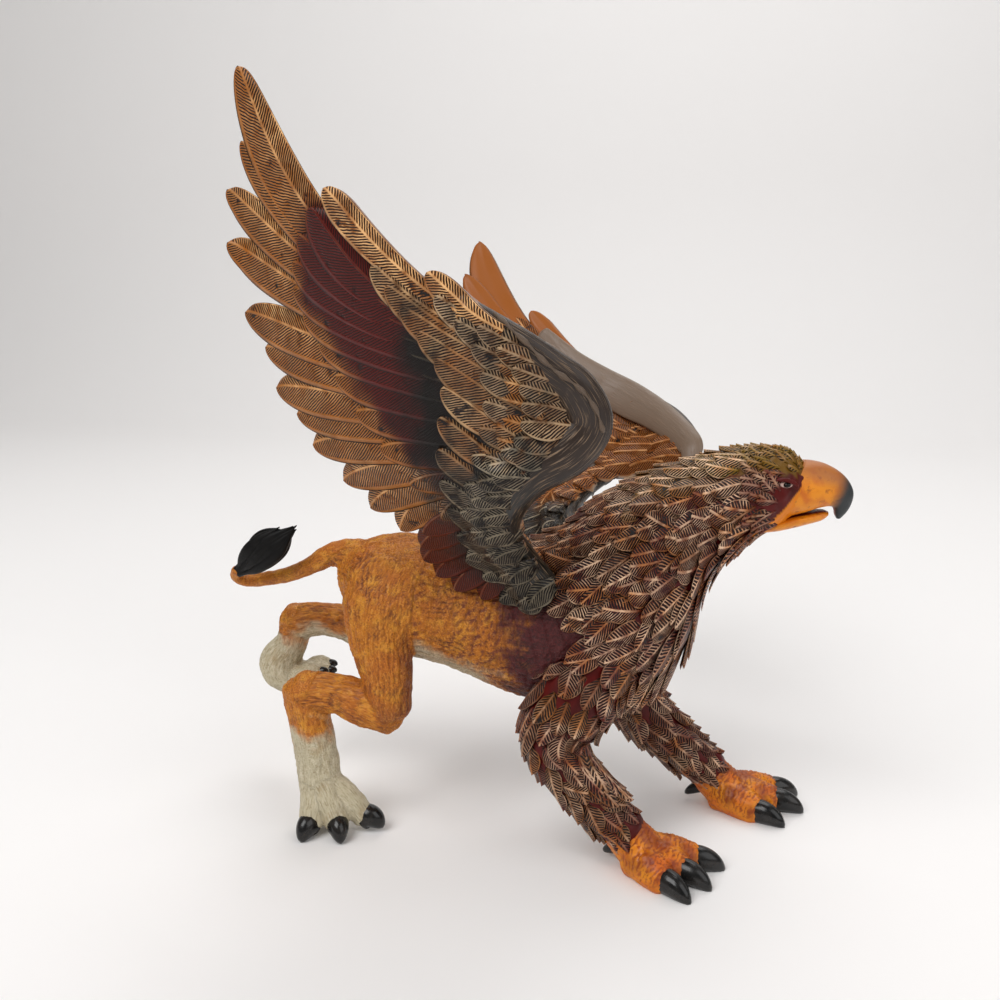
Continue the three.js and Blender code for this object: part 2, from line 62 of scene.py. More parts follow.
# Limbs: stations of x, y, z, half width and half depth
FORELEGS = {
    "right": [
        [30, -8.5, 45, 7, 9], [24.8, -12.6, 35.5, 6.6, 8.2], [20.8, -14.6, 27.2, 5.8, 6.8],
        [23, -15.2, 21, 5, 5.6], [27, -15.2, 16.2, 4.7, 4.8], [31, -15, 11.6, 4.5, 4.4],
        [35, -15, 8, 4.4, 4.2],
    ],
    "left": [
        [28, 9, 42, 7, 9], [32, 11.6, 29, 6, 7.2], [37, 13.2, 21.4, 5.4, 5.7], [43, 13.8, 15.4, 5, 5.1],
        [49, 13.8, 10.4, 4.6, 4.5], [52.6, 13.8, 7.8, 4.4, 4.3],
    ],
}
LION_LIMBS = {
    "right_thigh": [
        [-13, -5.5, 57, 5.6, 8.8], [-15.2, -8.4, 51, 6.6, 8.8], [-15.6, -10.4, 43.6, 5.8, 6.9],
        [-14.2, -11.6, 36, 5, 5.3], [-13.7, -12, 29.2, 4.6, 4.6],
    ],
    "right_shank": [
        [-13.4, -12, 27.8, 4.2, 4.2], [-19.4, -11.8, 29.8, 4, 5], [-25.6, -11.2, 31.2, 3.5, 4.3],
        [-32, -10.8, 30.8, 3.9, 4.9],
    ],
    "right_metatarsus": [
        [-32.2, -10.8, 31.8, 3.9, 5], [-31.5, -10.6, 25, 3.6, 4.7], [-30.4, -10.4, 17, 3.7, 4.7],
        [-29.6, -10.4, 9.6, 4.1, 4.7], [-28.6, -10.6, 3.4, 3.6, 4.2],
    ],
    "left_thigh": [
        [-12.4, 4, 55.6, 6, 8.6], [-15.6, 7.6, 49, 6, 7.8], [-19.2, 10, 41.6, 5.2, 6.2],
        [-22.8, 11.6, 35.4, 4.6, 4.8],
    ],
    "left_shank": [
        [-22.6, 11.6, 34.6, 4.2, 4.4], [-29.6, 12, 38, 3.8, 4.2], [-36.6, 12, 38.8, 3.5, 3.9],
        [-42.4, 12, 37.6, 3.9, 4.7],
    ],
    "left_metatarsus": [
        [-41.8, 12, 38.4, 3.6, 4.2], [-43.4, 12, 33, 3.6, 3.7], [-46.6, 12, 27.6, 4.4, 4.9],
        [-44.6, 12, 24.6, 4.6, 4], [-39.6, 12, 25, 4.2, 3.2],
    ],
    "tail": [
        [-20, -1.6, 58, 3.6, 3.8], [-24.6, -1.4, 58.6, 3, 3.2], [-29, -1, 57.8, 2.5, 2.6],
        [-33.6, -0.4, 55.2, 2, 2], [-39, 0.4, 52.7, 1.7, 1.7], [-44.6, 0.8, 51.4, 1.6, 1.6],
        [-48.2, 0.2, 51, 1.4, 1.4], [-49.8, -1.8, 52.4, 1.3, 1.3], [-48.6, -4, 54.6, 1.25, 1.25],
    ],
}

# Feet: a toe is its root, its knuckle and the tip of its claw
FOREFEET = {
    "right": {
        "palm": [[34, -15, 8.4, 4.3, 4.3], [36.4, -15.3, 5.8, 4.4, 4.6], [39.5, -15.6, 2.6, 5.8, 4.8]],
        "spur": [[35.6, -15, 3.8], [28.4, -11.8, 0.6]],
        "toes": [
            [[36.5, -16.8, 2.8], [42.4, -21.7, 1.9], [46.9, -25.4, -0.2]],
            [[38, -15.6, 2.9], [45.6, -18.2, 2.1], [51.9, -21.3, -0.2]],
            [[38, -14, 2.9], [48, -13.8, 2.1], [54, -13.4, -0.2]],
        ],
    },
    "left": {
        "palm": [[51.6, 13.8, 8.2, 4.3, 4.3], [54, 13.6, 5.6, 4.4, 4.6], [57.5, 13, 2.6, 5.8, 4.8]],
        "spur": [[52.8, 13.8, 3.8], [46.6, 14.4, 0.6]],
        "toes": [
            [[54.4, 11.8, 2.8], [62, 7.4, 1.9], [68.8, 4.2, -0.2]],
            [[56, 13, 2.9], [66.2, 12.4, 2.1], [74.2, 11, -0.2]],
            [[55.5, 14, 2.9], [66, 17.2, 2.1], [73.4, 19, -0.2]],
        ],
    },
}
RIGHT_HIND_TOES = [
    [[-30.4, -11, 11], [-31, -13.6, 2.6], [-32, -17, 0.1]],
    [[-29, -11.4, 11], [-25.4, -13.2, 2.6], [-23.6, -16.8, 0.1]],
    [[-28, -10.6, 11], [-20.4, -10, 3], [-16, -10.4, 0.7]],
]
LEFT_HIND_TOES = [
    [[-40, 9.6, 25.2], [-36.4, 9.2, 26.4], [-33, 9, 27.4]],
    [[-40, 12.4, 24.8], [-35.6, 12.4, 25.6], [-32.4, 12.4, 26.2]],
    [[-40, 15, 25], [-36.4, 15.2, 26], [-33, 15.4, 26.6]],
]
TOE_RADIUS = 3.2
WRINKLE_PITCH = 0.85
# Sides of the cubes in which the coat's and the forefeet's skins are fused
COAT_VOXEL = 0.4
FOOT_VOXEL = 0.36
CLAW_LENGTH = 7.5
HIND_CLAW_LENGTH = 4.8
LIFTED_CLAW_LENGTH = 2.8

# Wings: drawn for the right side on a curved sheet whose origin is the shoulder joint
SHOULDERS = {"right": (18, -14, 60), "left": (25, 12.8, 57)}
LEFT_TURN = (-0.43, 0.04, -0.28)
# How far back the left wing's feathers start below its elbow, where its arm bends further back
LEFT_ROOT_SHIFT = 5
# Each arm: stations of x, z, half thickness and half width
ARMS = {
    "right": [
        [-0.5, -4.5, 3.2, 4.2], [-5, 3.5, 3, 3.9], [-7.4, 10.5, 3, 4.1], [-5, 18.2, 2.9, 4.3],
        [0.2, 24.4, 2.9, 4.4], [6.4, 28.2, 2.8, 4.5], [9.6, 32.6, 2.6, 3.9], [7.6, 37.8, 2.4, 3.5],
        [3.4, 41.4, 2.2, 3.1], [-1.4, 45, 2, 2.8], [-8.1, 49.6, 1.7, 2.1],
    ],
    "left": [
        [-0.5, -4.5, 3.2, 4.2], [-6, 3.5, 3, 3.9], [-11, 10.5, 2.6, 4], [-11, 19, 2.2, 4],
        [-4.6, 27, 2, 3.8], [4, 28.8, 2, 4.2], [11.4, 29.4, 1.9, 4], [13.4, 30.8, 1.8, 3.6],
        [8.6, 37, 1.8, 3.4], [1, 42.4, 1.7, 3.1], [-8.1, 47.6, 1.5, 2.6],
    ],
}


# Settings that a user may change

def colour(code):
    """An sRGB hex code as linear red, green, blue and alpha."""
    parts = [int(code[k:k + 2], 16) / 255 for k in (1, 3, 5)]
    return [p / 12.92 if p <= 0.04045 else ((p + 0.055) / 1.055) ** 2.4 for p in parts] + [1.0]


def size_setting(name, description, millimetres):
    """A setting that is a length, given in millimetres."""
    return bpy.props.FloatProperty(
        name=name, description=description, default=millimetres * MM, min=0.01 * MM, precision=5,
        unit="LENGTH")


def colour_setting(name, description, code):
    """A setting that is a colour, given as its hex code."""
    return bpy.props.FloatVectorProperty(
        name=name, description=description, default=colour(code), size=4, min=0, max=1, subtype="COLOR")


class GriffinFur(bpy.types.PropertyGroup):
    stroke_length: size_setting("Stroke length", "Length of an engraved fur stroke", 1.7)
    stroke_width: size_setting("Stroke width", "Width of an engraved fur stroke", 0.5)
    stroke_depth: size_setting("Stroke depth", "Depth of an engraved fur stroke", 0.34)
    ochre: colour_setting("Ochre", "Paint of the lion's coat", "#bb6f0b")
    cream: colour_setting("Cream", "Paint of the hind paws", "#c2b79a")


class GriffinPlumage(bpy.types.PropertyGroup):
    feather_length: size_setting("Feather length", "Length of a breast feather", 8.8)
    feather_width: size_setting("Feather width", "Width of a breast feather", 5.0)
    tip_lift: size_setting("Tip lift", "How far a feather's tip stands off the skin", 1.35)
    barb_spacing: size_setting("Barb spacing", "Distance between the engraved barbs", 0.66)
    maroon: colour_setting("Maroon", "Ground paint of the plumage", "#5a1710")
    highlight: colour_setting("Highlight", "Paint brushed over the raised barbs", "#f2cba8")


class GriffinWings(bpy.types.PropertyGroup):
    barb_spacing: size_setting("Barb spacing", "Distance between the engraved barbs", 0.6)
    bronze: colour_setting("Bronze", "Ground paint of the flight feathers", "#a6601e")
    gilt: colour_setting("Gilt", "Paint brushed over the raised barbs", "#f4c084")
    wine: colour_setting("Wine", "Paint of the wing's middle", "#560d05")


class GriffinStage(bpy.types.PropertyGroup):
    floor: colour_setting("Floor", "Colour of the floor and the wall", "#f2f0ef")
    key_power: bpy.props.FloatProperty(
        name="Key light", description="Power of the large soft light", default=5.8, unit="POWER")


# Curves and surfaces, in millimetres on the drawing grid

def spline(points, share):
    """A curve through points. Each span is a cubic whose slope at a point is half the chord between
    that point's two neighbours, with the end points mirrored. share runs from 0 to 1, and the curve goes
    on straight beyond either end."""
    points = np.asarray(points, float)
    padded = np.vstack([2 * points[0] - points[1], points, 2 * points[-1] - points[-2]])
    spans = len(points) - 1
    place = np.asarray(share, float) * spans
    first = np.clip(place.astype(int), 0, spans - 1)
    part = np.clip(place - first, 0, 1)[..., None]
    beyond = (place - first)[..., None] - part
    before, start, end, after = (padded[first + k] for k in range(4))
    square, cube = part ** 2, part ** 3
    return beyond * np.where(beyond > 0, after - start, end - before) / 2 + (
        start * (2 * cube - 3 * square + 1)
        + (end - before) / 2 * (cube - 2 * square + part)
        + end * (3 * square - 2 * cube)
        + (after - start) / 2 * (cube - square)
    )


def along_curve(points, count):
    """So many points on the smooth curve through some, evenly by its parameter."""
    return spline(np.array(points, float), np.linspace(0, 1, count))


def unit(vectors):
    """The vectors, each divided by its length."""
    return vectors / np.maximum(np.linalg.norm(vectors, axis=-1, keepdims=True), 1e-9)


def ramp(low, high, value):
    """A smooth rise from 0 where value is low to 1 where it is high."""
    share = np.clip((value - low) / (high - low), 0, 1)
    return share * share * (3 - 2 * share)


def wobble(points, size, seed):
    """A smooth random field from about -1 to 1: the mean of sine waves of that size in random
    directions."""
    draw = np.random.default_rng(seed)
    waves = unit(draw.normal(size=(7, 3))) * (2 * math.pi / size) * draw.uniform(0.7, 1.5, (7, 1))
    return np.sin(points @ waves.T + draw.uniform(0, 2 * math.pi, 7)).mean(axis=-1) * 1.9


def turns(sides):
    """Angles evenly round a ring."""
    return np.linspace(0, 2 * math.pi, sides, endpoint=False)


def travelled(path):
    """The distance along a path at each of its points."""
    return np.append(0, np.cumsum(np.linalg.norm(np.diff(path, axis=0), axis=1)))


# The trunk's back and belly curves in the middle plane, and its half width and its shift
BACK = np.insert(TRUNK[:, 0:2], 1, 0, axis=1)
BELLY = np.insert(TRUNK[:, 2:4], 1, 0, axis=1)
GIRTH = TRUNK[:, 4:6]


def trunk_surface(along, angle, swell=0.0):
    """The trunk: ovals between the back curve and the belly curve. along runs from 0 at the face to 1 at
    the rump, angle from the back down the left side, and swell moves the point outward."""
    along, angle, swell = np.broadcast_arrays(along, angle, swell)
    back = spline(BACK, 1 - along)
    belly = spline(BELLY, 1 - along)
    girth = spline(GIRTH, 1 - along)
    half = (back - belly) / 2
    tall = np.linalg.norm(half, axis=-1)
    point = belly + half + unit(half) * ((tall + swell) * np.cos(angle))[..., None]
    point[..., 1] += (girth[..., 0] + swell) * np.sin(angle) + girth[..., 1]
    return point


def limb_surface(stations):
    """A limb: ovals square to a path, whose width stays level and whose depth is square to it."""
    stations = np.array(stations, float)
    nudge = 1e-4

    def surface(along, angle, swell=0.0):
        along, angle, swell = np.broadcast_arrays(along, angle, swell)
        ahead = spline(stations[:, :3], along + nudge)
        forward = unit(ahead - spline(stations[:, :3], along - nudge))
        across = unit(np.array([0, 1, 0]) - forward * forward[..., 1:2])
        deep = np.cross(forward, across)
        size = np.maximum(spline(stations[:, 3:], along), 0.05)
        return (
            spline(stations[:, :3], along)
            + across * (np.cos(angle) * (size[..., 0] + swell))[..., None]
            + deep * (np.sin(angle) * (size[..., 1] + swell))[..., None]
        )

    return surface


def rings_on(surface, rows, sides, start=0.0, end=1.0):
    """Rings of points on a surface, evenly from start to end along it and evenly round it."""
    return surface(np.linspace(start, end, rows)[:, None], turns(sides))


def domed(rings, reach):
    """Closes a stack of rings with a quarter of an oval turned outward at either end."""
    quarter = np.linspace(0, math.pi / 2, 5)[1:-1, None, None]

    def dome(edge, inner):
        """Rings that shrink as the cosine and move outward as the sine of a quarter turn."""
        centre = edge.mean(axis=0)
        outward = unit(centre - inner.mean(axis=0))
        return centre + (edge - centre) * np.cos(quarter) + outward * reach * np.sin(quarter)

    return np.concatenate([dome(rings[0], rings[1])[::-1], rings, dome(rings[-1], rings[-2])])


def limb_rings(stations, rows=40, sides=28):
    """A limb's rings, closed by domes that reach out 0.6 of its last half depth."""
    return domed(rings_on(limb_surface(stations), rows, sides), 0.6 * stations[-1][4])


def tube(path, side, wide, tall, turn, up=None):
    """Ovals round a path: wide square to it and to side, and tall along up, or else square to both."""
    forward = unit(np.gradient(path, axis=0))
    across = unit(np.cross(forward, side))
    up = np.cross(across, forward) if up is None else np.broadcast_to(up, across.shape)
    return (
        path[:, None]
        + across[:, None] * (wide * np.cos(turn))[..., None]
        + up[:, None] * (tall * np.sin(turn))[..., None]
    )


def nearest_on(points, paths, steps, solid):
    """For each point, what lies nearest on paths of stations, measured from their ovals where solid, or
    else from their middle lines: the path's number, how far along it as a share and in millimetres,
    its direction there, and the point's offset from its middle line."""
    best = np.full(len(points), np.inf)
    found = np.zeros((len(points), 9))
    share = np.linspace(0, 1, steps)
    for number, stations in enumerate(paths):
        stations = np.array(stations, float)
        centre = spline(stations[:, :3], share)
        forward = unit(np.gradient(centre, axis=0))
        rows = np.column_stack([np.full(steps, number), share, travelled(centre), forward, centre])
        gap = np.linalg.norm(points[:, None] - centre[None], axis=2)
        if solid:
            gap = gap - spline(stations[:, 3:], share).mean(axis=1)
        nearest = gap.argmin(axis=1)
        distance = gap[np.arange(len(points)), nearest]
        closer = distance < best
        best[closer] = distance[closer]
        found[closer] = rows[nearest[closer]]
    return found[:, 0].astype(int), found[:, 1], found[:, 2], found[:, 3:6], points - found[:, 6:]


# Meshes

def to_frame(points):
    """From the drawing grid to the frame, in metres."""
    return (np.asarray(points) + GRID) * MM


def mesh_of(name, points, loops, starts):
    """A smooth mesh: its points in the frame, the points round each face one after another, and where
    in that list each face starts."""
    mesh = bpy.data.meshes.new(name)
    mesh.vertices.add(len(points))
    mesh.vertices.foreach_set("co", np.ascontiguousarray(points, dtype=np.float32).ravel())
    mesh.loops.add(len(loops))
    mesh.loops.foreach_set("vertex_index", loops.astype(np.int32))
    mesh.polygons.add(len(starts))
    mesh.polygons.foreach_set("loop_start", starts.astype(np.int32))
    mesh.polygons.foreach_set("use_smooth", np.ones(len(starts), bool))
    mesh.update(calc_edges=True)
    mesh.validate()
    return mesh


def shell_faces(count, rows, sides, inside_out):
    """Faces of closed stacks of rings: quads between the rings and a many-sided cap at either end."""
    ring = np.arange(sides)
    turn = np.roll(ring, -1)
    row = np.arange(rows - 1)[:, None] * sides
    quads = np.stack([row + ring, row + turn, row + sides + turn, row + sides + ring], axis=-1)
    caps = np.stack([ring[::-1], ring + (rows - 1) * sides])
    base = np.arange(count)[:, None] * rows * sides
    quads = quads.reshape(1, -1, 4) + base[..., None]
    caps = caps[None] + base[..., None]
    quads[inside_out] = quads[inside_out][..., ::-1]
    caps[inside_out] = caps[inside_out][..., ::-1]
    loops = np.concatenate([quads.ravel(), caps.ravel()])
    sizes = np.concatenate([np.full(quads.shape[0] * quads.shape[1], 4), np.full(2 * count, sides)])
    return loops, np.concatenate([[0], np.cumsum(sizes)[:-1]])


def is_inside_out(rings):
    """Whether the faces of each stack of rings would point inward, by the sign of its volume."""
    centre = rings.mean(axis=(1, 2), keepdims=True)
    a = rings[:, :-1] - centre
    b = np.roll(a, -1, axis=2)
    c = rings[:, 1:] - centre
    return (np.cross(a, b) * c).sum(axis=(1, 2, 3)) < 0


def shells_mesh(name, rings):
    """One mesh of closed stacks of rings, given as an array of (shell, row, side, xyz) on the grid."""
    count, rows, sides, _ = rings.shape
    loops, starts = shell_faces(count, rows, sides, is_inside_out(rings))
    return mesh_of(name, to_frame(rings.reshape(-1, 3)), loops, starts)


def set_paint(mesh, **masks):
    """Stores masks from 0 to 1, and distances and offsets in millimetres, for the paint to read."""
    for name, values in masks.items():
        values = np.ascontiguousarray(values, dtype=np.float32).ravel()
        is_vector = len(values) > len(mesh.vertices)
        layer = mesh.attributes.new(name, "FLOAT_VECTOR" if is_vector else "FLOAT", "POINT")
        layer.data.foreach_set("vector" if is_vector else "value", values)


def placed(name, data):
    """An object in the scene that holds a mesh, a light or a camera."""
    made = bpy.data.objects.new(name, data)
    bpy.context.scene.collection.objects.link(made)
    return made


def piece(name, mesh, paint, slot, *replaced):
    """Adds a mesh, or the closed stacks of rings for one, to the scene as a piece of the figure."""
    if isinstance(mesh, np.ndarray):
        mesh = shells_mesh(name, mesh)
    made = placed(name, mesh)
    mesh.materials.append(paint)
    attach(made, "root")
    if replaced:
        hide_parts(*replaced)


def joined(name, meshes):
    """Several meshes as one, with their attributes."""
    objects = [placed(name, mesh) for mesh in meshes]
    with bpy.context.temp_override(
        object=objects[0], active_object=objects[0], selected_objects=objects,
        selected_editable_objects=objects,
    ):
        bpy.ops.object.join()
    mesh = objects[0].data
    bpy.data.objects.remove(objects[0])
    mesh.name = name
    return mesh


def fused(name, stacks, voxel):
    """One skin over overlapping stacks of rings: they are remeshed in cubes of voxel millimetres,
    and the steps are smoothed out."""
    made = placed(name, joined(name, [shells_mesh(name, stack[None]) for stack in stacks]))
    remesh = made.modifiers.new("Fuse", "REMESH")
    remesh.mode = "VOXEL"
    remesh.voxel_size = voxel * MM
    relax = made.modifiers.new("Relax", "SMOOTH")
    relax.iterations = 5
    relax.factor = 0.5
    skin = bpy.data.meshes.new_from_object(made.evaluated_get(bpy.context.evaluated_depsgraph_get()))
    bpy.data.objects.remove(made)
    skin.name = name
    skin.polygons.foreach_set("use_smooth", np.ones(len(skin.polygons), bool))
    return skin


def points_of(mesh):
    """A mesh's vertices on the grid and their normals."""
    points = np.empty(len(mesh.vertices) * 3, np.float32)
    mesh.vertices.foreach_get("co", points)
    normals = np.empty(len(mesh.vertices) * 3, np.float32)
    mesh.vertex_normals.foreach_get("vector", normals)
    return points.reshape(-1, 3) / MM - GRID, normals.reshape(-1, 3).astype(float)


def sink(mesh, points, normals, depth):
    """Moves a mesh's vertices inward by depth millimetres, and never below the floor. Returns them."""
    points = points - normals * depth[:, None]
    points[:, 2] = np.maximum(points[:, 2], 0)
    mesh.vertices.foreach_set("co", to_frame(points).astype(np.float32).ravel())
    mesh.update()
    return points


# Paint

def feed(tree, node, inputs):
    """Gives a node's sockets a value, a colour's hex code, or a link from another socket or from another
    node's first output."""
    for name, value in dict(inputs).items():
        if isinstance(value, bpy.types.Node):
            value = value.outputs[0]
        if isinstance(value, bpy.types.NodeSocket):
            tree.links.new(value, node.inputs[name])
        else:
            node.inputs[name].default_value = colour(value) if isinstance(value, str) else value


def add(tree, kind, inputs=(), **settings):
    """Adds a node with its settings and what feeds its sockets."""
    made = tree.nodes.new("ShaderNode" + kind)
    for name, value in settings.items():
        setattr(made, name, value)
    feed(tree, made, inputs)
    return made


PAINT_IOR = 1.45
# Sockets of a Mix node that mixes colours
SHARE, FIRST, SECOND, MIXED = 0, 6, 7, 2


def mask(tree, source, low=0.0, high=1.0, most=1.0):
    """A mask that rises from 0 at low to most at high. source is the name of a value stored on the mesh,
    or the size in millimetres of noise blotches, or a node, which without limits is the mask itself."""
    if isinstance(source, bpy.types.Node):
        value = source
        if (low, high) == (0, 1):
            return source
    elif isinstance(source, str):
        value = add(tree, "Attribute", attribute_name=source).outputs["Fac"]
    else:
        place = add(tree, "TexCoord").outputs["Object"]
        value = add(tree, "TexNoise", {"Vector": place, "Scale": 1 / (source * MM), "Detail": 4.0})
    return add(tree, "MapRange", {"Value": value, "From Min": low, "From Max": high, "To Max": most})


def within(tree, *masks):
    """The product of several masks, each given as what the mask function takes."""
    whole, *others = [mask(tree, *one) for one in masks]
    for other in others:
        whole = add(tree, "Math", {0: whole, 1: other}, operation="MULTIPLY")
    return whole


def layers(tree, ground, *coats):
    """The socket of coats of paint laid over a ground. Each coat is its colour, and then what the mask
    function takes."""
    for paint, *source in coats:
        share = mask(tree, *source)
        mix = add(tree, "Mix", {SHARE: share, FIRST: ground, SECOND: paint}, data_type="RGBA")
        ground = mix.outputs[MIXED]
    return ground


def painted(name, roughness, gloss=0.5):
    """A material of smooth plastic or paint with its Principled shader."""
    made = bpy.data.materials.new(name)
    made.use_nodes = True
    tree = made.node_tree
    tree.nodes.clear()
    surface = add(tree, "BsdfPrincipled", {
        "Roughness": roughness, "IOR": PAINT_IOR, "Specular IOR Level": gloss})
    add(tree, "OutputMaterial", {"Surface": surface})
    return made, tree, surface


def finish_paint(tree, surface, paint, relief, strength, depth):
    """Gives the shader its colour, its bump, depth millimetres deep, and worn patches of duller sheen."""
    bump = add(tree, "Bump", {"Height": relief, "Strength": strength, "Distance": depth * MM})
    sheen = surface.inputs["Roughness"].default_value
    worn = add(tree, "MapRange", {
        "Value": mask(tree, 6, 0.3, 0.7), "To Min": sheen - 0.06, "To Max": sheen + 0.1})
    feed(tree, surface, {"Normal": bump, "Base Color": paint, "Roughness": worn})


def barb_relief(tree, spacing, crest):
    """A feather's engraving, 1 on its raised lines: a sine wave of the distance along the feather less
    its distance from the middle rib, so that the barbs slant towards the tip, which noise bends a
    little and breaks off; and the rib and the rim, both plain. The wave is cut off at the crest."""
    place = add(tree, "TexCoord").outputs["Object"]
    along, across = (
        add(tree, "Attribute", attribute_name=name).outputs["Fac"] for name in ("along", "across"))
    aside = add(tree, "Math", {0: across}, operation="ABSOLUTE")
    noise = add(tree, "TexNoise", {"Vector": place, "Scale": 1 / (2.6 * MM), "Detail": 3.0})
    slanted = add(tree, "Math", {0: along, 1: aside}, operation="SUBTRACT")
    bent = add(tree, "Math", {0: noise, 1: 1.0, 2: slanted}, operation="MULTIPLY_ADD")
    angle = add(tree, "Math", {0: bent, 1: 2 * math.pi * MM / spacing}, operation="MULTIPLY")
    wave = add(tree, "Math", {0: angle}, operation="SINE")
    relief = within(tree, [wave, -0.65, crest], [noise, 0.28, 0.4], ["engraved"])
    for line in (
        within(tree, [aside, 0.34, 0.14], ["engraved", 0, 0.5]),
        within(tree, ["edge", 0.82, 0.89], ["edge", 1.0, 0.97], ["engraved", 0.3, 0.8]),
    ):
        relief = add(tree, "Math", {0: relief, 1: line}, operation="MAXIMUM")
    return relief


def plumage_paint(name, spacing, crest, ground, warm, wine, highlight, second, grey, roughness=0.4):
    """Painted vinyl: a dark ground that stays in the engraved hollows, a warmer glaze, a wine one and
    a black one by zone, which near the left wing's shoulder on its inner face is painted shade, an
    ochre one on the wing's inner face, and two light colours dry-brushed over the raised barbs, ribs
    and rims, greyer over black."""
    made, tree, surface = painted(name, roughness, 0.35)
    relief = barb_relief(tree, spacing, crest)
    soot = mask(tree, "soot")
    light = layers(tree, highlight, (second, 5, 0.45, 0.6), (grey, soot))
    paint = layers(
        tree, ground, (warm, "warm"), (wine, "wine"), ("#0f0b08", soot), ("#9a561c", "ochre"),
        ("#0d0403", within(tree, [relief, 0.45, 0.05], ["engraved", 0, 0.7])),
        (light, within(tree, [relief, 0.6, 0.95], ["brush"], [2.0, 0.3, 0.55])),
        ("#120603", "edge", 0.955, 0.99))
    finish_paint(tree, surface, paint, relief, 0.9, 0.24)
    return made


def arm_paint():
    """Painted vinyl: a dark brown skin with fine pale hair lines along it, black towards the shoulder,
    and grey-brown on the smooth band. The hair lines are noise stretched along the arm."""
    made, tree, surface = painted("Painted vinyl wing arm", 0.34)
    along, around = (
        add(tree, "Attribute", attribute_name=name).outputs["Fac"] for name in ("along", "around"))
    place = add(tree, "CombineXYZ", {"X": along, "Y": around})
    stretched = add(tree, "VectorMath", {0: place, 1: (0.22, 4.5, 0)}, operation="MULTIPLY")
    hairs = add(tree, "TexNoise", {"Vector": stretched, "Scale": 1.0, "Detail": 3.0})
    lines = mask(tree, hairs, 0.54, 0.7)
    paint = layers(
        tree, "#2b1e16", ("#0f100d", "soot"), ("#776454", "pale"), ("#c0a58c", "pale", 1.0, 1.5),
        ("#94795e", within(tree, [lines], ["brush"])))
    finish_paint(tree, surface, paint, lines, 0.5, 0.1)
    return made


def coat_paint(settings):
    """Painted vinyl: an ochre coat, a brown wash in the engraved strokes, cream paws, a maroon glaze on
    the side of the chest, and a rusty one at the knees, in curls on the flank, along the crease by the
    thigh and, as painted shade, on the thighs' forward-facing sides. Fine dark and light hairs, a third
    of a millimetre across, are noise stretched along each limb; the light ones, on the raised hairs,
    are a dry-brushed highlight and in part a painted sheen."""
    made, tree, surface = painted("Painted vinyl coat", 0.46)
    cream = mask(tree, "cream")
    wine = mask(tree, "wine")
    offset = add(tree, "Attribute", attribute_name="offset").outputs["Vector"]
    run = add(tree, "Attribute", attribute_name="run").outputs["Fac"]
    slow = add(tree, "Math", {0: run, 1: 0.16}, operation="MULTIPLY")
    hairs = add(tree, "TexNoise", {
        "Vector": offset, "W": slow, "Scale": 3.0, "Detail": 2.0}, noise_dimensions="4D")
    # Darker and lighter copies of each zone's paint: the dark one for the wash and the dark hairs, the
    # light one for the hairs on the raised relief, a dry-brushed highlight and in part a painted sheen.
    dark = layers(tree, "#5a2507", ("#8a7858", cream), ("#220807", wine))
    light = layers(tree, "#e8a347", ("#e8dfcc", cream), ("#6e2420", wine))
    paint = layers(
        tree, settings.ochre, ("#b3610c", 7, 0.35, 0.7), ("#d68f24", 2.5, 0.5, 0.72), ("#74341a", "rust"),
        (settings.cream, cream), ("#a8916a", within(tree, [cream], [3.5, 0.56, 0.8])), ("#4c0b0d", wine),
        (dark, within(tree, ["stroke", 0.2, 0.95], [4, 0.42, 0.72])),
        (dark, hairs, 0.52, 0.66, 0.55), (light, hairs, 0.46, 0.34, 0.35))
    finish_paint(tree, surface, paint, mask(tree, hairs, 0.64, 0.38), 0.6, 0.16)
    return made


def plain_paint(name, roughness, ground, *coats, grain=0.6, strength=0.3, depth=0.08, gloss=0.5):
    """Coats of paint over a ground, with a fine grain for a bump, grain millimetres across."""
    made, tree, surface = painted(name, roughness, gloss)
    finish_paint(tree, surface, layers(tree, ground, *coats), mask(tree, grain), strength, depth)
    return made


# Feathers

def leaf(share, fullest, root, tip_power=0.6):
    """A feather's half width as a share of its widest: it widens to fullest, then rounds to the tip."""
    grow = root + (1 - root) * ramp(0, fullest, share)
    close = np.clip((share - fullest) / (1 - fullest), 0, 1)
    return grow * np.maximum(1 - close ** 2, 0.0006) ** tip_power


# Across a feather: places of its upper side from edge to edge, then of its under side
TOP = np.array([-1, -0.66, -0.2, 0, 0.2, 0.66, 1.0])
UNDER = np.array([0.5, -0.5])
ACROSS = np.concatenate([TOP, UNDER])[None, None, :]
IS_TOP = (np.arange(TOP.size + UNDER.size) < TOP.size)[None, None, :]
SHARES = np.array([0, 0.15, 0.32, 0.5, 0.66, 0.8, 0.9, 0.965, 1.0])[None, :, None]


def per_feather(*values):
    """Arrays of one value or one point per feather, ready to combine with its rings."""
    return [np.asarray(v, float)[:, None, None] for v in values]


